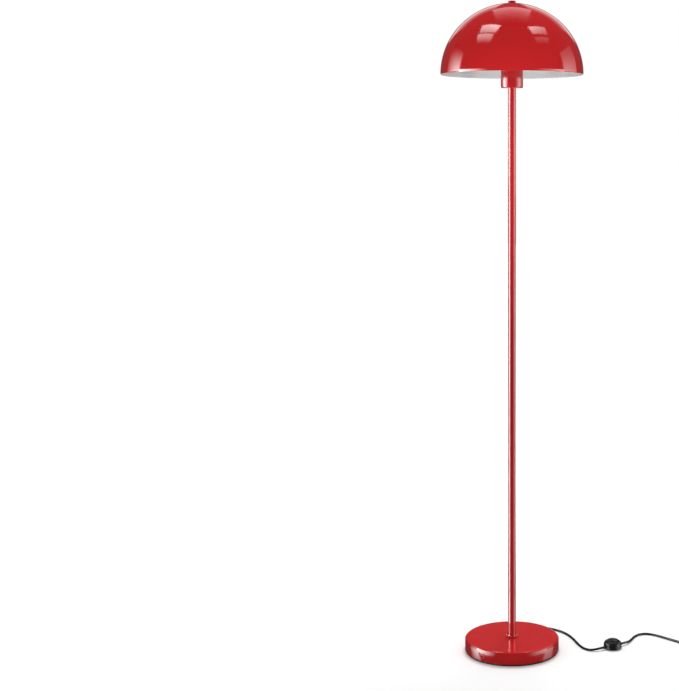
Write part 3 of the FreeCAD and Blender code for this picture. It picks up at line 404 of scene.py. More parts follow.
@dataclass(frozen=True)
class CastIron:
    """Rough cast iron under one thin coat of primer."""

    name: str = "cast_iron"
    colour: Colour = (0.028, 0.027, 0.026, 1.0)

    def make(self) -> bpy.types.Material:
        """Builds the material.

        Returns:
            The new material.
        """
        graph = Graph(self.name)
        shader = graph.principled(IOR=1.45)
        rust = graph.spread(graph.noise(40.0, detail=8.0), 0.0, 1.0)
        graph.link(graph.blend(rust, self.colour, (0.06, 0.04, 0.03, 1.0)), shader.inputs["Base Color"])
        graph.link(graph.spread(graph.noise(120.0, detail=6.0), 0.6, 0.85), shader.inputs["Roughness"])
        graph.bump(shader, graph.noise(320.0, detail=8.0), 0.0005, 0.6)
        return graph.material


@dataclass(frozen=True)
class OpalGlass:
    """Inside-frosted lamp glass: milky, smooth outside and softly see-through."""

    name: str = "opal_glass"
    colour: Colour = (0.93, 0.93, 0.91, 1.0)

    def make(self) -> bpy.types.Material:
        """Builds the material.

        Returns:
            The new material.
        """
        graph = Graph(self.name)
        shader = graph.principled(
            IOR=1.46, Transmission_Weight=0.25, Coat_Weight=0.8, Coat_Roughness=0.02, Subsurface_Weight=0.15)
        shader.inputs["Subsurface Radius"].default_value = (0.01, 0.01, 0.01)
        cloud = graph.spread(graph.noise(30.0, detail=3.0), 0.0, 1.0)
        graph.link(graph.blend(cloud, shaded(self.colour, 0.97), self.colour), shader.inputs["Base Color"])
        graph.link(graph.spread(graph.noise(200.0, detail=2.0), 0.3, 0.42), shader.inputs["Roughness"])
        return graph.material


@dataclass(frozen=True)
class Webbing:
    """Hook-and-loop strap: a matt black weave with raised threads."""

    name: str = "strap_weave"
    colour: Colour = (0.012, 0.012, 0.013, 1.0)

    def make(self) -> bpy.types.Material:
        """Builds the material.

        Returns:
            The new material.
        """
        graph = Graph(self.name)
        shader = graph.principled(Sheen_Weight=0.35, Sheen_Roughness=0.5)
        threads = graph.node("ShaderNodeTexVoronoi")
        threads.inputs["Scale"].default_value = 1500.0
        graph.link(graph.place, threads.inputs["Vector"])
        graph.link(
            graph.blend(threads.outputs["Distance"], self.colour, (0.05, 0.05, 0.052, 1.0)),
            shader.inputs["Base Color"])
        graph.link(graph.spread(graph.noise(600.0, detail=3.0), 0.75, 0.95), shader.inputs["Roughness"])
        graph.bump(shader, threads.outputs["Distance"], 0.0003, 0.8)
        return graph.material


class Finish(Enum):
    """Every finish on the lamp."""

    RED = Enamel("red_enamel", srgb(190, 29, 32))
    # The base cover's red is a lighter copy of the same red enamel: painted light, standing in for the
    # brighter lit top of the base.
    RED_BASE = Enamel("red_enamel_base", srgb(198, 28, 31), roughness=0.14)
    INNER = Enamel("pale_grey_inside", srgb(205, 206, 205), roughness=0.5, coat=0.0)
    IRON = CastIron()
    FOAM = Moulded("pad_foam", srgb(20, 20, 21), roughness=0.9, grain=700.0, depth=0.0003)
    RUBBER = Moulded("black_rubber", srgb(22, 22, 23), roughness=0.7)
    ZINC = Plated("zinc_plate", (0.56, 0.57, 0.58, 1.0), 0.34)
    STEEL = Plated("spring_steel", (0.42, 0.42, 0.43, 1.0), 0.25)
    BRASS = Plated("bright_brass", (0.78, 0.55, 0.24, 1.0), 0.22)
    NICKEL = Plated("nickel_plate", (0.66, 0.64, 0.6, 1.0), 0.2)
    LEAD = Moulded("lead_sheath", srgb(17, 17, 18), roughness=0.34, grain=500.0, depth=0.00003)
    RELIEF = Moulded("relief_rubber", srgb(18, 18, 19), roughness=0.5)
    HOLDER = Moulded("holder_resin", srgb(24, 24, 25), roughness=0.4, grain=600.0)
    SWITCH = Moulded("switch_shell", srgb(22, 22, 23), roughness=0.3, grain=700.0, depth=0.00003)
    KNOB = Moulded("switch_button", srgb(26, 26, 27), roughness=0.24, grain=700.0, depth=0.00003)
    CERAMIC = Moulded("glazed_steatite", srgb(228, 224, 214), roughness=0.25, grain=300.0)
    VITRITE = Moulded("black_vitrite", srgb(18, 18, 24), roughness=0.12, grain=200.0)
    WIRE = Moulded("wire_sheath", srgb(70, 100, 160), roughness=0.4)
    OPAL = OpalGlass()
    STRAP = Webbing()

    @cache
    def material(self) -> bpy.types.Material:
        """The finish's material, made when it is first asked for."""
        return self.value.make()


CAD_FINISHES: dict[Finish, tuple[str, ...]] = {
    Finish.RED: ("pole_tube", "pole_collar", "socket_cup", "finial"),
    Finish.RED_BASE: ("base_cover",),
    Finish.IRON: ("base_weight",),
    Finish.FOAM: ("base_pad",),
    Finish.ZINC: (
        "base_washer", "base_nut", "base_nipple", "top_nipple", "cup_washer", "cup_nut", "carrier_stud",
        "carrier_nut", "shade_carrier", "clamp_screws", "cord_clamp", "pole_bottom_bush", "pole_top_bush",
        "switch_screws"),
    Finish.STEEL: ("switch_spring",),
    Finish.BRASS: ("terminal_screws", "thread_shell", "centre_contact", "bulb_contact", "switch_terminals"),
    Finish.NICKEL: ("bulb_cap", "plug_pins"),
    Finish.RUBBER: ("shade_washer", "switch_foot"),
    Finish.RELIEF: ("cord_grommet", "switch_relief_in", "switch_relief_out", "plug_relief", "plug_body"),
    Finish.LEAD: ("inner_cord",),
    Finish.HOLDER: ("holder_cap", "holder_body", "holder_ring", "pin_sleeves"),
    Finish.SWITCH: ("switch_base", "switch_cover"),
    Finish.KNOB: ("switch_button",),
    Finish.CERAMIC: ("holder_insert", "contact_block"),
    Finish.VITRITE: ("bulb_insulator",),
    Finish.WIRE: ("lead_wires",),
    Finish.OPAL: ("bulb_glass",),
    Finish.STRAP: ("coil_tie",),
}


def dress(piece: bpy.types.Object, *finishes: Finish) -> None:
    """Gives a piece its finishes.

    Args:
        piece: The piece.
        finishes: One for each of its material slots, in order.
    """
    piece.data.materials.clear()
    for finish in finishes:
        piece.data.materials.append(finish.material())


def dress_cad_nodes() -> None:
    """Gives each CAD node listed in CAD_FINISHES its finish."""
    for finish, nodes in CAD_FINISHES.items():
        for name in nodes:
            dress(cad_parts[name], finish)
            log.info("%s: %s", name, finish.value.name)


# ---------------------------------------------------------------------------------------------------------
# Modelling by operators


def begin(name: str, adder: Callable[..., set[str]], **settings: object) -> bpy.types.Object:
    """Adds a primitive with nothing else selected, and enters edit mode on it.

    Args:
        name: The new piece's name.
        adder: The operator that adds the primitive.
        settings: The operator's settings.

    Returns:
        The new object, in edit mode with all of it selected.
    """
    bpy.ops.object.select_all(action="DESELECT")
    adder(**settings)
    made = bpy.context.active_object
    made.name = made.data.name = name
    bpy.ops.object.mode_set(mode="EDIT")
    bpy.ops.mesh.select_all(action="SELECT")
    return made


def finish_piece(piece: bpy.types.Object, body: str) -> None:
    """Leaves edit mode and hangs the piece on its body.

    Args:
        piece: The piece, which has its finishes.
        body: The CAD body it rides on.
    """
    if bpy.context.mode != "OBJECT":
        bpy.ops.object.mode_set(mode="OBJECT")
    bpy.ops.object.select_all(action="DESELECT")
    piece.select_set(True)
    bpy.context.view_layer.objects.active = piece
    bpy.ops.object.transform_apply(location=True, rotation=True, scale=True)
    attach(piece, body)
    log.info("%s: %d faces", piece.name, len(piece.data.polygons))


def apply_modifier(piece: bpy.types.Object, kind: str, **settings: object) -> None:
    """Adds a modifier to the piece and applies it.

    Args:
        piece: The piece.
        kind: The modifier's type.
        settings: Its settings.
    """
    if bpy.context.mode != "OBJECT":
        bpy.ops.object.mode_set(mode="OBJECT")
    bpy.context.view_layer.objects.active = piece
    modifier = piece.modifiers.new(kind.title(), kind)
    for key, value in settings.items():
        setattr(modifier, key, value)
    bpy.ops.object.modifier_apply(modifier=modifier.name)


def spin_profile(name: str, points: Iterable[Pair], steps: int) -> bpy.types.Object:
    """Draws an open outline from one corner by extrusion, and spins it round the lamp's axis.

    Args:
        name: The new piece's name.
        points: The outline as (radius, height), in metres.
        steps: Stations round the axis.

    Returns:
        The closed surface of revolution, in edit mode.
    """
    outline = list(points)
    piece = begin(name, bpy.ops.mesh.primitive_plane_add, size=0.01, location=(0, 0, 0))
    bpy.ops.mesh.merge(type="CENTER")
    bpy.ops.transform.translate(value=(outline[0][0], 0, outline[0][1]))
    for (radius, height), (next_radius, next_height) in zip(outline, outline[1:]):
        bpy.ops.mesh.extrude_region_move(
            TRANSFORM_OT_translate={"value": (next_radius - radius, 0, next_height - height)})
    bpy.ops.mesh.select_all(action="SELECT")
    bpy.ops.mesh.spin(steps=steps, angle=math.tau, center=(0, 0, 0), axis=(0, 0, 1))
    bpy.ops.mesh.select_all(action="SELECT")
    bpy.ops.mesh.remove_doubles(threshold=MERGE_DISTANCE)
    bpy.ops.mesh.normals_make_consistent(inside=False)
    return piece


def arc(centre: Pair, radius: float, start: float, end: float, steps: int) -> list[Pair]:
    """Points on an arc, ends included, with angles in degrees."""
    angles = [math.radians(start + (end - start) * number / steps) for number in range(steps + 1)]
    return [(centre[0] + radius * math.cos(angle), centre[1] + radius * math.sin(angle)) for angle in angles]


def spun_part(
    name: str, outline: list[Pair], steps: int, finish: Finish, node: str,
) -> None:
    """Spins a closed outline into one of the lamp's round parts, in place of its CAD node.

    Args:
        name: The new piece's name.
        outline: The section as (radius, height) in metres, without its first corner again at the end.
        steps: Stations round the axis.
        finish: Its finish.
        node: The CAD node that it replaces.
    """
    piece = spin_profile(name, [*outline, outline[0]], steps)
    dress(piece, finish)
    bpy.ops.object.mode_set(mode="OBJECT")
    bpy.ops.object.shade_smooth_by_angle(angle=SMOOTH_BELOW)
    finish_piece(piece, LAMP)
    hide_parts(node)


@dataclass
class Base:
    """The pressed cover over the cast weight, and the flared collar at the pole's foot."""

    radius: float = 0.102
    height: float = 0.0305
    wall: float = 0.0015
    foot: float = 0.0035
    edge_radius: float = 0.004
    bore: float = 0.0051
    support: float = 0.0006
    edge_steps: int = 10
    inner_edge_steps: int = 6
    steps: int = 160
    collar_radius: float = 0.014
    collar_bore: float = 0.00855
    collar_height: float = 0.006
    collar_lip: float = 0.0015
    collar_undercut: float = 0.0009
    flare_steps: int = 10
    collar_steps: int = 64

    def cover_section(self) -> list[Pair]:
        """The cover's section: roof, rounded edge and skirt, outside first.

        Returns:
            Its corners as (radius, height).
        """
        centre = (self.radius - self.edge_radius, self.height - self.edge_radius)
        inner = self.radius - self.wall
        roof = self.height - self.wall
        return [
            (self.bore, roof),
            (self.bore, self.height),
            (centre[0] - self.support, self.height),
            *arc(centre, self.edge_radius, 90.0, 0.0, self.edge_steps),
            (self.radius, centre[1] - self.support),
            (self.radius, self.foot + self.support),
            (self.radius - self.support / 2, self.foot),
            (inner, self.foot),
            (inner, centre[1] - self.support),
            *arc(centre, self.edge_radius - self.wall, 0.0, 90.0, self.inner_edge_steps),
            (centre[0] - self.support, roof),
        ]

    def collar_section(self) -> list[Pair]:
        """The collar's section, hollow from its lip up to the pole.

        Returns:
            Its corners as (radius, height).
        """
        top = self.height + self.collar_height
        sweep = self.collar_height - self.collar_lip
        return [
            (self.collar_bore, self.height),
            (self.collar_radius - self.collar_undercut, self.height),
            *arc((self.collar_radius, top), sweep, 270.0, 180.0, self.flare_steps),
            (self.collar_bore, top),
        ]

    def build(self) -> None:
        """Spins both pieces."""
        spun_part(
            "pressed_cover", self.cover_section(), self.steps, Finish.RED_BASE, "base_cover")
        spun_part(
            "flared_collar", self.collar_section(), self.collar_steps, Finish.RED,
            "pole_collar")


@dataclass
class Cup:
    """The deep-drawn cup round the lampholder."""

    radius: float = 0.02325
    wall: float = 0.0012
    bottom: float = 1.213
    height: float = 0.056
    edge_radius: float = 0.003
    bore: float = 0.0051
    support: float = 0.0004
    edge_steps: int = 8
    inner_edge_steps: int = 5
    steps: int = 96

    def section(self) -> list[Pair]:
        """The cup's section: floor, rounded edge and wall, outside first.

        Returns:
            Its corners as (radius, height).
        """
        centre = (self.radius - self.edge_radius, self.bottom + self.edge_radius)
        inner = self.radius - self.wall
        top = self.bottom + self.height
        floor = self.bottom + self.wall
        return [
            (self.bore, floor),
            (self.bore, self.bottom),
            (centre[0] - self.support, self.bottom),
            *arc(centre, self.edge_radius, 270.0, 360.0, self.edge_steps),
            (self.radius, centre[1] + self.support),
            (self.radius, top),
            (inner, top),
            (inner, centre[1] + self.support),
            *arc(centre, self.edge_radius - self.wall, 360.0, 270.0, self.inner_edge_steps),
            (centre[0] - self.support, floor),
        ]

    def build(self) -> None:
        """Spins the cup."""
        spun_part("drawn_cup", self.section(), self.steps, Finish.RED, "socket_cup")


@dataclass
class Shade:
    """The spun shade: red outside, pale grey inside, with a rolled edge."""

    radius: float = 0.150
    height: float = 0.1475
    wall: float = 0.0012
    rim_height: float = 1.241
    hole_radius: float = 0.0032
    rim_edge: float = 0.0003
    steps: int = 120
    arc_steps: int = 22

    def outline(self) -> list[Pair]:
        """The outer skin from the rim to the hole in the crown, as (radius, height).

        Returns:
            The skin's points in order.
        """
        share = math.sqrt(0.5)
        side = (self.radius * (1 - share) - self.height * share) / (1 - 2 * share)
        crown = (self.height * (1 - share) - self.radius * share) / (1 - 2 * share)
        centre = self.rim_height + self.height - crown
        top = math.degrees(math.acos(self.hole_radius / crown))
        lower = arc((self.radius - side, self.rim_height), side, 0.0, 45.0, self.arc_steps)
        upper = arc((0.0, centre), crown, 45.0, top, self.arc_steps)
        return lower + upper[1:]

    def build(self) -> None:
        """Spins the skin, gives it its wall and rounds the rim."""
        piece = spin_profile("spun_shade", self.outline(), self.steps)
        dress(piece, Finish.RED, Finish.INNER)
        apply_modifier(
            piece, "SOLIDIFY", thickness=self.wall, offset=-1.0, use_even_offset=True, material_offset=1,
            material_offset_rim=0)
        apply_modifier(
            piece, "BEVEL", width=self.rim_edge, segments=2, limit_method="ANGLE",
            angle_limit=math.radians(50))
        bpy.ops.object.shade_smooth_by_angle(angle=SMOOTH_BELOW)
        finish_piece(piece, LAMP)
        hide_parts("shade")


# ---------------------------------------------------------------------------------------------------------
# The lead


def level(degrees: float) -> Vector:
    """A level unit vector."""
    return Vector((math.cos(math.radians(degrees)), math.sin(math.radians(degrees)), 0.0))


@dataclass
class Lead:
    """The mains lead outside the lamp: base to foot switch, and foot switch to plug by way of the coil."""

    diameter: float = 0.0048
    gland: Point = (0.05728, 0.10772, 0.009)
    switch_entry: Point = (0.19803, -0.00354, 0.0058)
    switch_exit: Point = (0.24297, 0.02454, 0.0058)
    coil_centre: Point = (0.427, 0.0461, 0.0036)
    coil_radius: float = 0.0435
    coil_start: float = -134.0
    pitch: float = 0.0055
    half_turns_in: int = 7
    half_turns_out: int = 6
    inset: float = 0.0015
    points_per_half_turn: int = 8
    to_switch: list[Point] = field(default_factory=lambda: [
        (0.06268, 0.11787, 0.0090), (0.0720, 0.1249, 0.0066), (0.0832, 0.1270, 0.0042),
        (0.0970, 0.1236, 0.0024), (0.1130, 0.1095, 0.0024), (0.1270, 0.0885, 0.0024),
        (0.1375, 0.0600, 0.0024), (0.1450, 0.0320, 0.0024), (0.1532, 0.0086, 0.0024),
        (0.1630, -0.0053, 0.0024), (0.1748, -0.0108, 0.0034), (0.18785, -0.00990, 0.0058),
    ])
    to_coil: list[Point] = field(default_factory=lambda: [
        (0.25103, 0.02958, 0.0058), (0.2600, 0.0435, 0.0034), (0.2675, 0.0625, 0.0024),
        (0.2755, 0.0800, 0.0024), (0.2865, 0.0923, 0.0024), (0.3005, 0.0960, 0.0024),
        (0.3140, 0.0920, 0.0024), (0.3280, 0.0815, 0.0024), (0.3460, 0.0646, 0.0024),
        (0.3640, 0.0470, 0.0026), (0.38038, 0.03065, 0.0036), (0.39333, 0.01814, 0.0036),
    ])
    to_plug: list[Point] = field(default_factory=lambda: [
        (0.40215, 0.01345, 0.0091), (0.40862, 0.00720, 0.0091), (0.4157, -0.0012, 0.0089),
        (0.4202, -0.0113, 0.0079), (0.4217, -0.0222, 0.00685),
    ])
    plug_tip: Point = (0.4217, -0.0312, 0.00685)

    def coil(self) -> list[Point]:
        """Control points of the coil's turns: in on the floor, one climb, and out on top.

        Returns:
            The points in order.
        """
        turns_in, turns_out, count = self.half_turns_in, self.half_turns_out, self.points_per_half_turn
        radii = [self.coil_radius - self.pitch / 2 * number for number in range(turns_in + 1)]
        inmost = radii[-1]
        radii += [inmost - self.inset]
        radii += [inmost + self.pitch / 2 * number for number in range(1, turns_out + 1)]
        swell = 2.0 / (1.0 + math.cos(math.pi / count / 2) ** 2)
        centre = Vector(self.coil_centre)
        points = []
        for station in range((len(radii) - 1) * count + 1):
            half_turn, share = divmod(station / count, 1.0)
            low = radii[int(half_turn)]
            high = radii[min(int(half_turn) + 1, len(radii) - 1)]
            climb = min(max(station / count - turns_in, 0.0), 1.0)
            rise = self.pitch * (1 - math.cos(math.pi * climb)) / 2
            away = level(self.coil_start + 180.0 * station / count) * (low + (high - low) * share) * swell
            points.append(tuple(centre + away + Vector((0, 0, rise))))
        return points

    def curve(self, name: str, points: list[Point]) -> bpy.types.Object:
        """One smooth tube along control points.

        Args:
            name: The new piece's name.
            points: The spline's control points.

        Returns:
            The new curve object.
        """
        data = bpy.data.curves.new(name, "CURVE")
        data.dimensions = "3D"
        data.resolution_u = 6
        data.bevel_depth = self.diameter / 2
        data.bevel_resolution = 5
        data.use_fill_caps = True
        spline = data.splines.new("NURBS")
        spline.points.add(len(points) - 1)
        for control, point in zip(spline.points, points):
            control.co = (*point, 1.0)
        spline.order_u = 3
        spline.use_endpoint_u = True
        made = bpy.data.objects.new(name, data)
        bpy.context.scene.collection.objects.link(made)
        dress(made, Finish.LEAD)
        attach(made, LAMP)
        log.info("%s: %d control points", name, len(points))
        return made

    def build(self, tie: bpy.types.Object) -> None:
        """Args:
            tie: The strap round the coil. It is not used.
        """
        first = self.curve("lead_to_switch", [self.gland, *self.to_switch, self.switch_entry])
        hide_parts("cord_to_switch")
        second = self.curve(
            "lead_to_plug", [self.switch_exit, *self.to_coil, *self.coil(), *self.to_plug, self.plug_tip])
        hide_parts("cord_to_coil", "cord_coil", "cord_tail")


@dataclass
class ReturnSpring:
    """The foot switch's return spring."""

    centre: Pair = (0.2205, 0.0105)
    turned: float = 32.0
    foot: float = 0.0092
    length: float = 0.0085
    radius: float = 0.0042
    wire: float = 0.00035
    turns: int = 5
    sides: int = 12
    steps: int = 28
    travel: float = 0.003

    def build(self) -> None:
        """Screws the wire's section round the spring's axis, closes its ends and hangs it on the lamp's body.
        """
        piece = begin(
            "return_spring", bpy.ops.mesh.primitive_circle_add, vertices=self.sides, radius=self.wire)
        origin = {"center_override": (0.0, 0.0, 0.0)}
        bpy.ops.transform.rotate(value=math.pi / 2, orient_axis="X", **origin)
        bpy.ops.transform.translate(value=(self.radius, 0.0, 0.0))
        rise = self.length - 2 * self.wire
        apply_modifier(
            piece, "SCREW", axis="Z", screw_offset=rise / self.turns, iterations=self.turns,
            steps=self.steps, render_steps=self.steps, use_smooth_shade=True)
        bpy.ops.object.mode_set(mode="EDIT")
        bpy.ops.mesh.select_all(action="SELECT")
        bpy.ops.mesh.fill_holes(sides=0)
        bpy.ops.mesh.select_all(action="SELECT")
        bpy.ops.mesh.normals_make_consistent(inside=False)
        bpy.ops.transform.rotate(value=math.radians(self.turned), orient_axis="Z", **origin)
        bpy.ops.transform.translate(value=(*self.centre, self.foot + self.wire))
        dress(piece, Finish.STEEL)
        finish_piece(piece, LAMP)
        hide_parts("switch_spring")
        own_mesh(piece)


@dataclass
class CoilTie:
    """The hook-and-loop strap round the coil, with its free end pressed down on the outer face."""

    centre: Pair = (0.427, 0.0461)
    angle: float = 46.0
    near: float = 0.0210
    far: float = 0.0440
    low: float = 0.00045
    high: float = 0.01175
    corner: float = 0.0026
    width: float = 0.010
    sheet: float = 0.0009
    edge: float = 0.00015
    overlap: float = 0.012
    flat_share: float = 0.7
    lap_rise: float = 1.02
    step_span: Pair = (-2.5, 0.5)
    tip_rise: float = 0.35
    corner_steps: int = 6
    width_steps: int = 4

    def course(self) -> list[Pair]:
        """The strap's middle line as (distance from the coil's centre, height), once round and over itself.

        The lap's rises and the span of the step on to it are in thicknesses of the sheet.

        Returns:
            The line's points in order.
        """
        middle = (self.near + self.far) / 2
        left, right = self.near + self.corner, self.far - self.corner
        bottom, top = self.low + self.corner, self.high - self.corner
        lap = self.high + self.sheet * self.lap_rise
        step_start, step_end = (middle + self.sheet * share for share in self.step_span)
        return [
            (middle, self.high),
            *arc((right, top), self.corner, 90.0, 0.0, self.corner_steps),
            *arc((right, bottom), self.corner, 0.0, -90.0, self.corner_steps),
            *arc((left, bottom), self.corner, 270.0, 180.0, self.corner_steps),
            *arc((left, top), self.corner, 180.0, 90.0, self.corner_steps),
            (step_start, self.high),
            (step_end, lap),
            (middle + self.overlap * self.flat_share, lap),
            (middle + self.overlap, lap + self.sheet * self.tip_rise),
        ]

    def build(self) -> bpy.types.Object:
        """Extrudes the strap along its course, then across its width, and gives it its thickness.

        Returns:
            The strap.
        """
        outward, along = level(self.angle), level(self.angle + 90.0)
        centre = Vector((*self.centre, 0.0))
        places = [centre + outward * away + Vector((0, 0, rise)) for away, rise in self.course()]
        piece = begin("hook_and_loop_strap", bpy.ops.mesh.primitive_plane_add, size=0.001, location=(0, 0, 0))
        bpy.ops.mesh.merge(type="CENTER")
        bpy.ops.transform.translate(value=places[0] - along * self.width / 2)
        for here, there in zip(places, places[1:]):
            bpy.ops.mesh.extrude_region_move(TRANSFORM_OT_translate={"value": there - here})
        bpy.ops.mesh.select_all(action="SELECT")
        for _ in range(self.width_steps):
            bpy.ops.mesh.extrude_region_move(
                TRANSFORM_OT_translate={"value": along * self.width / self.width_steps})
        bpy.ops.mesh.select_all(action="SELECT")
        bpy.ops.mesh.normals_make_consistent(inside=False)
        dress(piece, Finish.STRAP)
        apply_modifier(piece, "SOLIDIFY", thickness=self.sheet, offset=0.0, use_even_offset=True)
        apply_modifier(
            piece, "BEVEL", width=self.edge, segments=2, limit_method="ANGLE", angle_limit=math.radians(60))
        bpy.ops.object.shade_smooth_by_angle(angle=SMOOTH_BELOW)
        finish_piece(piece, LAMP)
        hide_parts("coil_tie")
        return piece


# ---------------------------------------------------------------------------------------------------------
# Studio


SHADE_MIDDLE = 1.24
CEILING_RISE = 2.4
WALL_DISTANCE = 3.2
STRIP_MIDDLE = 0.735


@dataclass(frozen=True)
class Panel:
    """One panel of the reflections, which only mirrored rays see. It fades across both its sizes."""

    name: str
    centre: Point
    turn: Point
    size: Pair
    rise: Pair
    across: Pair = (1.0, 1.0)

    def add(self) -> None:
        """Hangs the panel."""
        panel = begin(
            self.name, bpy.ops.mesh.primitive_plane_add, size=1.0, location=self.centre, rotation=self.turn)
        bpy.ops.object.mode_set(mode="OBJECT")
        panel.scale = (*self.size, 1.0)
        panel.visible_camera = panel.visible_diffuse = panel.visible_shadow = False
        panel.data.materials.append(self.glow())
        log.info("panel %s", self.name)

    def glow(self) -> bpy.types.Material:
        """Makes the light: its radiance from lower to upper edge, times a share from side to side.

        Returns:
            The panel's material.
        """
        graph = Graph(self.name)
        graph.material.cycles.emission_sampling = "NONE"
        place = graph.node("ShaderNodeSeparateXYZ")
        graph.link(graph.node("ShaderNodeTexCoord").outputs["UV"], place.inputs[0])
        strength = graph.combined(
            "MULTIPLY", graph.ramp(place.outputs["Y"], WHOLE, self.rise),
            graph.ramp(place.outputs["X"], WHOLE, self.across))
        mirrored = graph.node("ShaderNodeLightPath").outputs["Is Glossy Ray"]
        emission = graph.node("ShaderNodeEmission")
        graph.link(graph.combined("MULTIPLY", strength, mirrored), emission.inputs["Strength"])
        graph.link(emission.outputs[0], graph.output.inputs["Surface"])
        return graph.material


def skylight(
    name: str, place: Pair, turn: float, size: Pair, rise: Pair,
    across: Pair = (1.0, 1.0),
) -> Panel:
    """A level panel over the shade.

    Args:
        name: The panel's name.
        place: How far to the right of the shade and behind it, as shares of the panel's height over it.
        turn: Turn about +Z in degrees.
        size: Width and depth, as the same shares.
        rise: Radiance at the edge towards its own -Y, and at the opposite edge.
        across: Share of that radiance at its own -X side, and at the other.

    Returns:
        The panel.
    """
    right, behind = (share * CEILING_RISE for share in place)
    width, depth = (share * CEILING_RISE for share in size)
    return Panel(
        name, (right, behind, SHADE_MIDDLE + CEILING_RISE), (0.0, 0.0, math.radians(turn)), (width, depth),
        rise, across)


def wall_panel(
    name: str, azimuth: float, elevation: float, size: Pair, rise: Pair,
    across: Pair = (1.0, 1.0), level_of: float = SHADE_MIDDLE, roll: float = 0.0,
) -> Panel:
    """An upright or leaning panel that faces the lamp.

    Args:
        name: The panel's name.
        azimuth: Degrees to the right of straight behind the lamp.
        elevation: Degrees above the level it faces.
        size: Width and height seen from the lamp, in degrees.
        rise: Radiance at its lower and upper edge.
        across: Share of that radiance at its own -X side and at the other.
        level_of: Height of the point that it faces, in metres.
        roll: Turn in its own plane in degrees.

    Returns:
        The panel.
    """
    around, up = math.radians(azimuth), math.radians(elevation)
    away = WALL_DISTANCE * math.cos(up)
    centre = (away * math.sin(around), away * math.cos(around), level_of + WALL_DISTANCE * math.sin(up))
    metres = tuple(2 * WALL_DISTANCE * math.tan(math.radians(angle / 2)) for angle in size)
    turn = (
        Matrix.Rotation(-around, 3, "Z") @ Matrix.Rotation(math.pi / 2 + up, 3, "X")
        @ Matrix.Rotation(math.radians(roll), 3, "Z")).to_euler()
    return Panel(name, centre, tuple(turn), metres, rise, across)


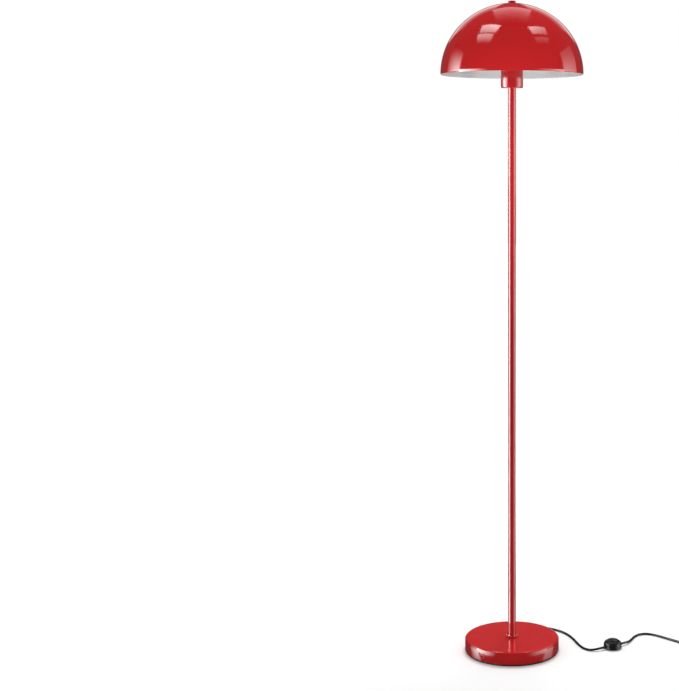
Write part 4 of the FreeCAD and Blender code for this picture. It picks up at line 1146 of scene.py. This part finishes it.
@dataclass
class Studio:
    """White sweep, glowing panels in a dark room and the photograph's camera."""

    distance: float = 2.9438
    camera_height: float = 1.0715
    pitch: float = 5.905
    lens: float = 72.516
    shift: Pair = (-0.24954, -0.0655)
    floor_radius: float = 14.0
    floor_white_span: Pair = (0.38, 1.3)
    floor_glow: Pair = (0.06, 1.0)
    floor_paint: float = 0.8
    floor_bounce: float = 0.42
    floor_polish: float = 0.12
    backdrop_span: Pair = (0.95, 0.999)
    room: Pair = (0.06, 1.0)
    soft_light: Pair = (0.78, 0.7)
    overhead_place: Point = (0.2, 1.5, 3.8)
    overhead_size: float = 1.7
    overhead_level: float = 0.6
    uplight_place: Point = (1.3, -1.6, 0.15)
    uplight_aim: Point = (0.0, 0.0, 1.27)
    uplight_level: float = 0.45
    uplight_spread: float = 26.0
    panels: tuple[Panel, ...] = (
        skylight("window_upper_left", (-0.485, -0.092), -40.0, (0.48, 0.285), (4.2, 7.6), (0.7, 1.0)),
        skylight("window_lower_left", (-0.80, -0.40), -42.0, (0.52, 0.5), (0.0, 4.2)),
        skylight("window_upper_right", (0.593, -0.078), 43.0, (0.48, 0.275), (3.0, 5.6), (1.0, 0.45)),
        skylight("window_lower_right", (0.93, -0.42), 43.0, (0.5, 0.42), (0.0, 0.9)),
        skylight("ceiling", (0.0, 0.35), 0.0, (0.56, 1.1), (0.0, 1.0)),
        wall_panel("back_left", -20.5, 30.5, (24.0, 24.0), (1.2, 0.3), roll=31.0),
        wall_panel("back_right", 20.5, 30.5, (24.0, 24.0), (1.2, 0.3), roll=-31.0),
        wall_panel("side_left", -74.0, 12.0, (32.0, 34.0), (9.0, 0.0), (1.0, 0.1)),
        wall_panel("side_right", 74.0, 10.0, (34.0, 32.0), (3.4, 0.7), (0.4, 1.0)),
        wall_panel("strip_left", -116.0, 0.0, (58.0, 26.0), (17.0, 17.0), (0.0, 1.0), level_of=STRIP_MIDDLE),
        wall_panel("strip_right", 118.0, 0.0, (60.0, 26.0), (5.0, 5.0), (1.0, 0.0), level_of=STRIP_MIDDLE),
    )

    def add_camera(self) -> None:
        """Sets the camera at the photograph's viewpoint."""
        data = bpy.data.cameras.new("camera")
        data.sensor_width = 36.0
        data.sensor_fit = "AUTO"
        data.lens = self.lens
        data.shift_x, data.shift_y = self.shift
        data.clip_end = 100.0
        camera = bpy.data.objects.new("camera", data)
        bpy.context.scene.collection.objects.link(camera)
        camera.location = (0.0, -self.distance, self.camera_height)
        camera.rotation_euler = (math.radians(90.0 - self.pitch), 0.0, 0.0)
        bpy.context.scene.camera = camera

    def add_floor(self) -> None:
        """Lays a pale floor that turns into the white background away from the lamp, and keeps its shadow."""
        floor = begin(
            "floor", bpy.ops.mesh.primitive_circle_add, vertices=96, radius=self.floor_radius,
            fill_type="NGON")
        bpy.ops.object.mode_set(mode="OBJECT")
        graph = Graph("floor_paint")
        rays = graph.node("ShaderNodeLightPath")
        away = graph.node("ShaderNodeVectorMath", operation="LENGTH")
        graph.link(graph.place, away.inputs[0])
        distance = away.outputs["Value"]

        white = graph.node("ShaderNodeEmission")
        graph.link(graph.ramp(distance, self.floor_white_span, self.floor_glow), white.inputs["Strength"])
        sweep = graph.node("ShaderNodeAddShader")
        graph.link(white.outputs[0], sweep.inputs[0])
        graph.link(graph.matt(self.floor_paint).outputs[0], sweep.inputs[1])

        polish = graph.node("ShaderNodeBsdfGlossy")
        polish.inputs["Roughness"].default_value = self.floor_polish
        axes = graph.node("ShaderNodeSeparateXYZ")
        graph.link(graph.place, axes.inputs[0])
        behind = graph.ramp(
            graph.combined("DIVIDE", axes.outputs["Y"], distance), self.backdrop_span, WHOLE)
        mirrored = graph.mixed(behind, polish, white)
        unseen = graph.mixed(rays.outputs["Is Glossy Ray"], graph.matt(self.floor_bounce), mirrored)
        graph.link(
            graph.mixed(graph.seen_straight(rays), unseen, sweep).outputs[0], graph.output.inputs["Surface"])
        floor.data.materials.append(graph.material)

    def add_world(self) -> None:
        """Gives a white background, an even soft light, and a dark room to mirrored rays in front."""
        world = bpy.data.worlds.new("room")
        bpy.context.scene.world = world
        world.use_nodes = True
        graph = WorldGraph(world)
        rays = graph.node("ShaderNodeLightPath")
        axes = graph.node("ShaderNodeSeparateXYZ")
        graph.link(graph.node("ShaderNodeTexCoord").outputs["Generated"], axes.inputs[0])
        soft = graph.background(graph.ramp(axes.outputs["Z"], WHOLE, self.soft_light))
        room = graph.background(graph.ramp(axes.outputs["Y"], self.backdrop_span, self.room))
        lit = graph.mixed(rays.outputs["Is Glossy Ray"], soft, room)
        graph.link(
            graph.mixed(graph.seen_straight(rays), lit, graph.background()).outputs[0],
            graph.output.inputs["Surface"])

    def add_lamp(
        self, name: str, kind: str, place: Point, aim: Point, brightness: float, **settings: float,
    ) -> None:
        """Hangs one lamp, which mirrored rays pass by.

        Args:
            name: The lamp's name.
            kind: Its type.
            place: Where it hangs.
            aim: The point that it faces.
            brightness: How bright it makes a white surface that faces it there.
            settings: Its sizes.
        """
        lamp = bpy.data.lights.new(name, kind)
        for key, value in settings.items():
            setattr(lamp, key, value)
        direction = Vector(place) - Vector(aim)
        # A flat lamp sends its power into half a sphere by the cosine, and a round one evenly all round.
        share = math.pi**2 if kind == "AREA" else 4 * math.pi**2
        lamp.energy = brightness * share * direction.length_squared
        holder = bpy.data.objects.new(name, lamp)
        bpy.context.scene.collection.objects.link(holder)
        holder.location = place
        holder.rotation_euler = direction.to_track_quat("Z", "Y").to_euler()
        holder.visible_glossy = holder.visible_camera = False
        log.info("lamp %s", name)

    def build(self) -> None:
        """Sets up the camera, the background and the light."""
        self.add_camera()
        self.add_floor()
        self.add_world()
        self.add_lamp(
            "overhead", "AREA", self.overhead_place, (0.0, 0.0, 0.0), self.overhead_level,
            size=self.overhead_size)
        across, before, height = self.uplight_place
        for name, place in (
            ("uplight_left", (-across, before, height)), ("uplight_right", (across, before, height)),
        ):
            self.add_lamp(
                name, "SPOT", place, self.uplight_aim, self.uplight_level,
                spot_size=math.radians(self.uplight_spread), spot_blend=0.6, shadow_soft_size=0.25)
        for panel in self.panels:
            panel.add()
        bpy.context.scene.view_settings.view_transform = "Standard"


def main() -> None:
    """Sets up the studio, dresses the lamp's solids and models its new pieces."""
    logging.basicConfig(level=logging.INFO, format="%(name)s: %(message)s")
    Studio().build()
    dress_cad_nodes()
    Base().build()
    Cup().build()
    Shade().build()
    ReturnSpring().build()
    Lead().build(CoilTie().build())


if __name__ == "__main__":
    main()
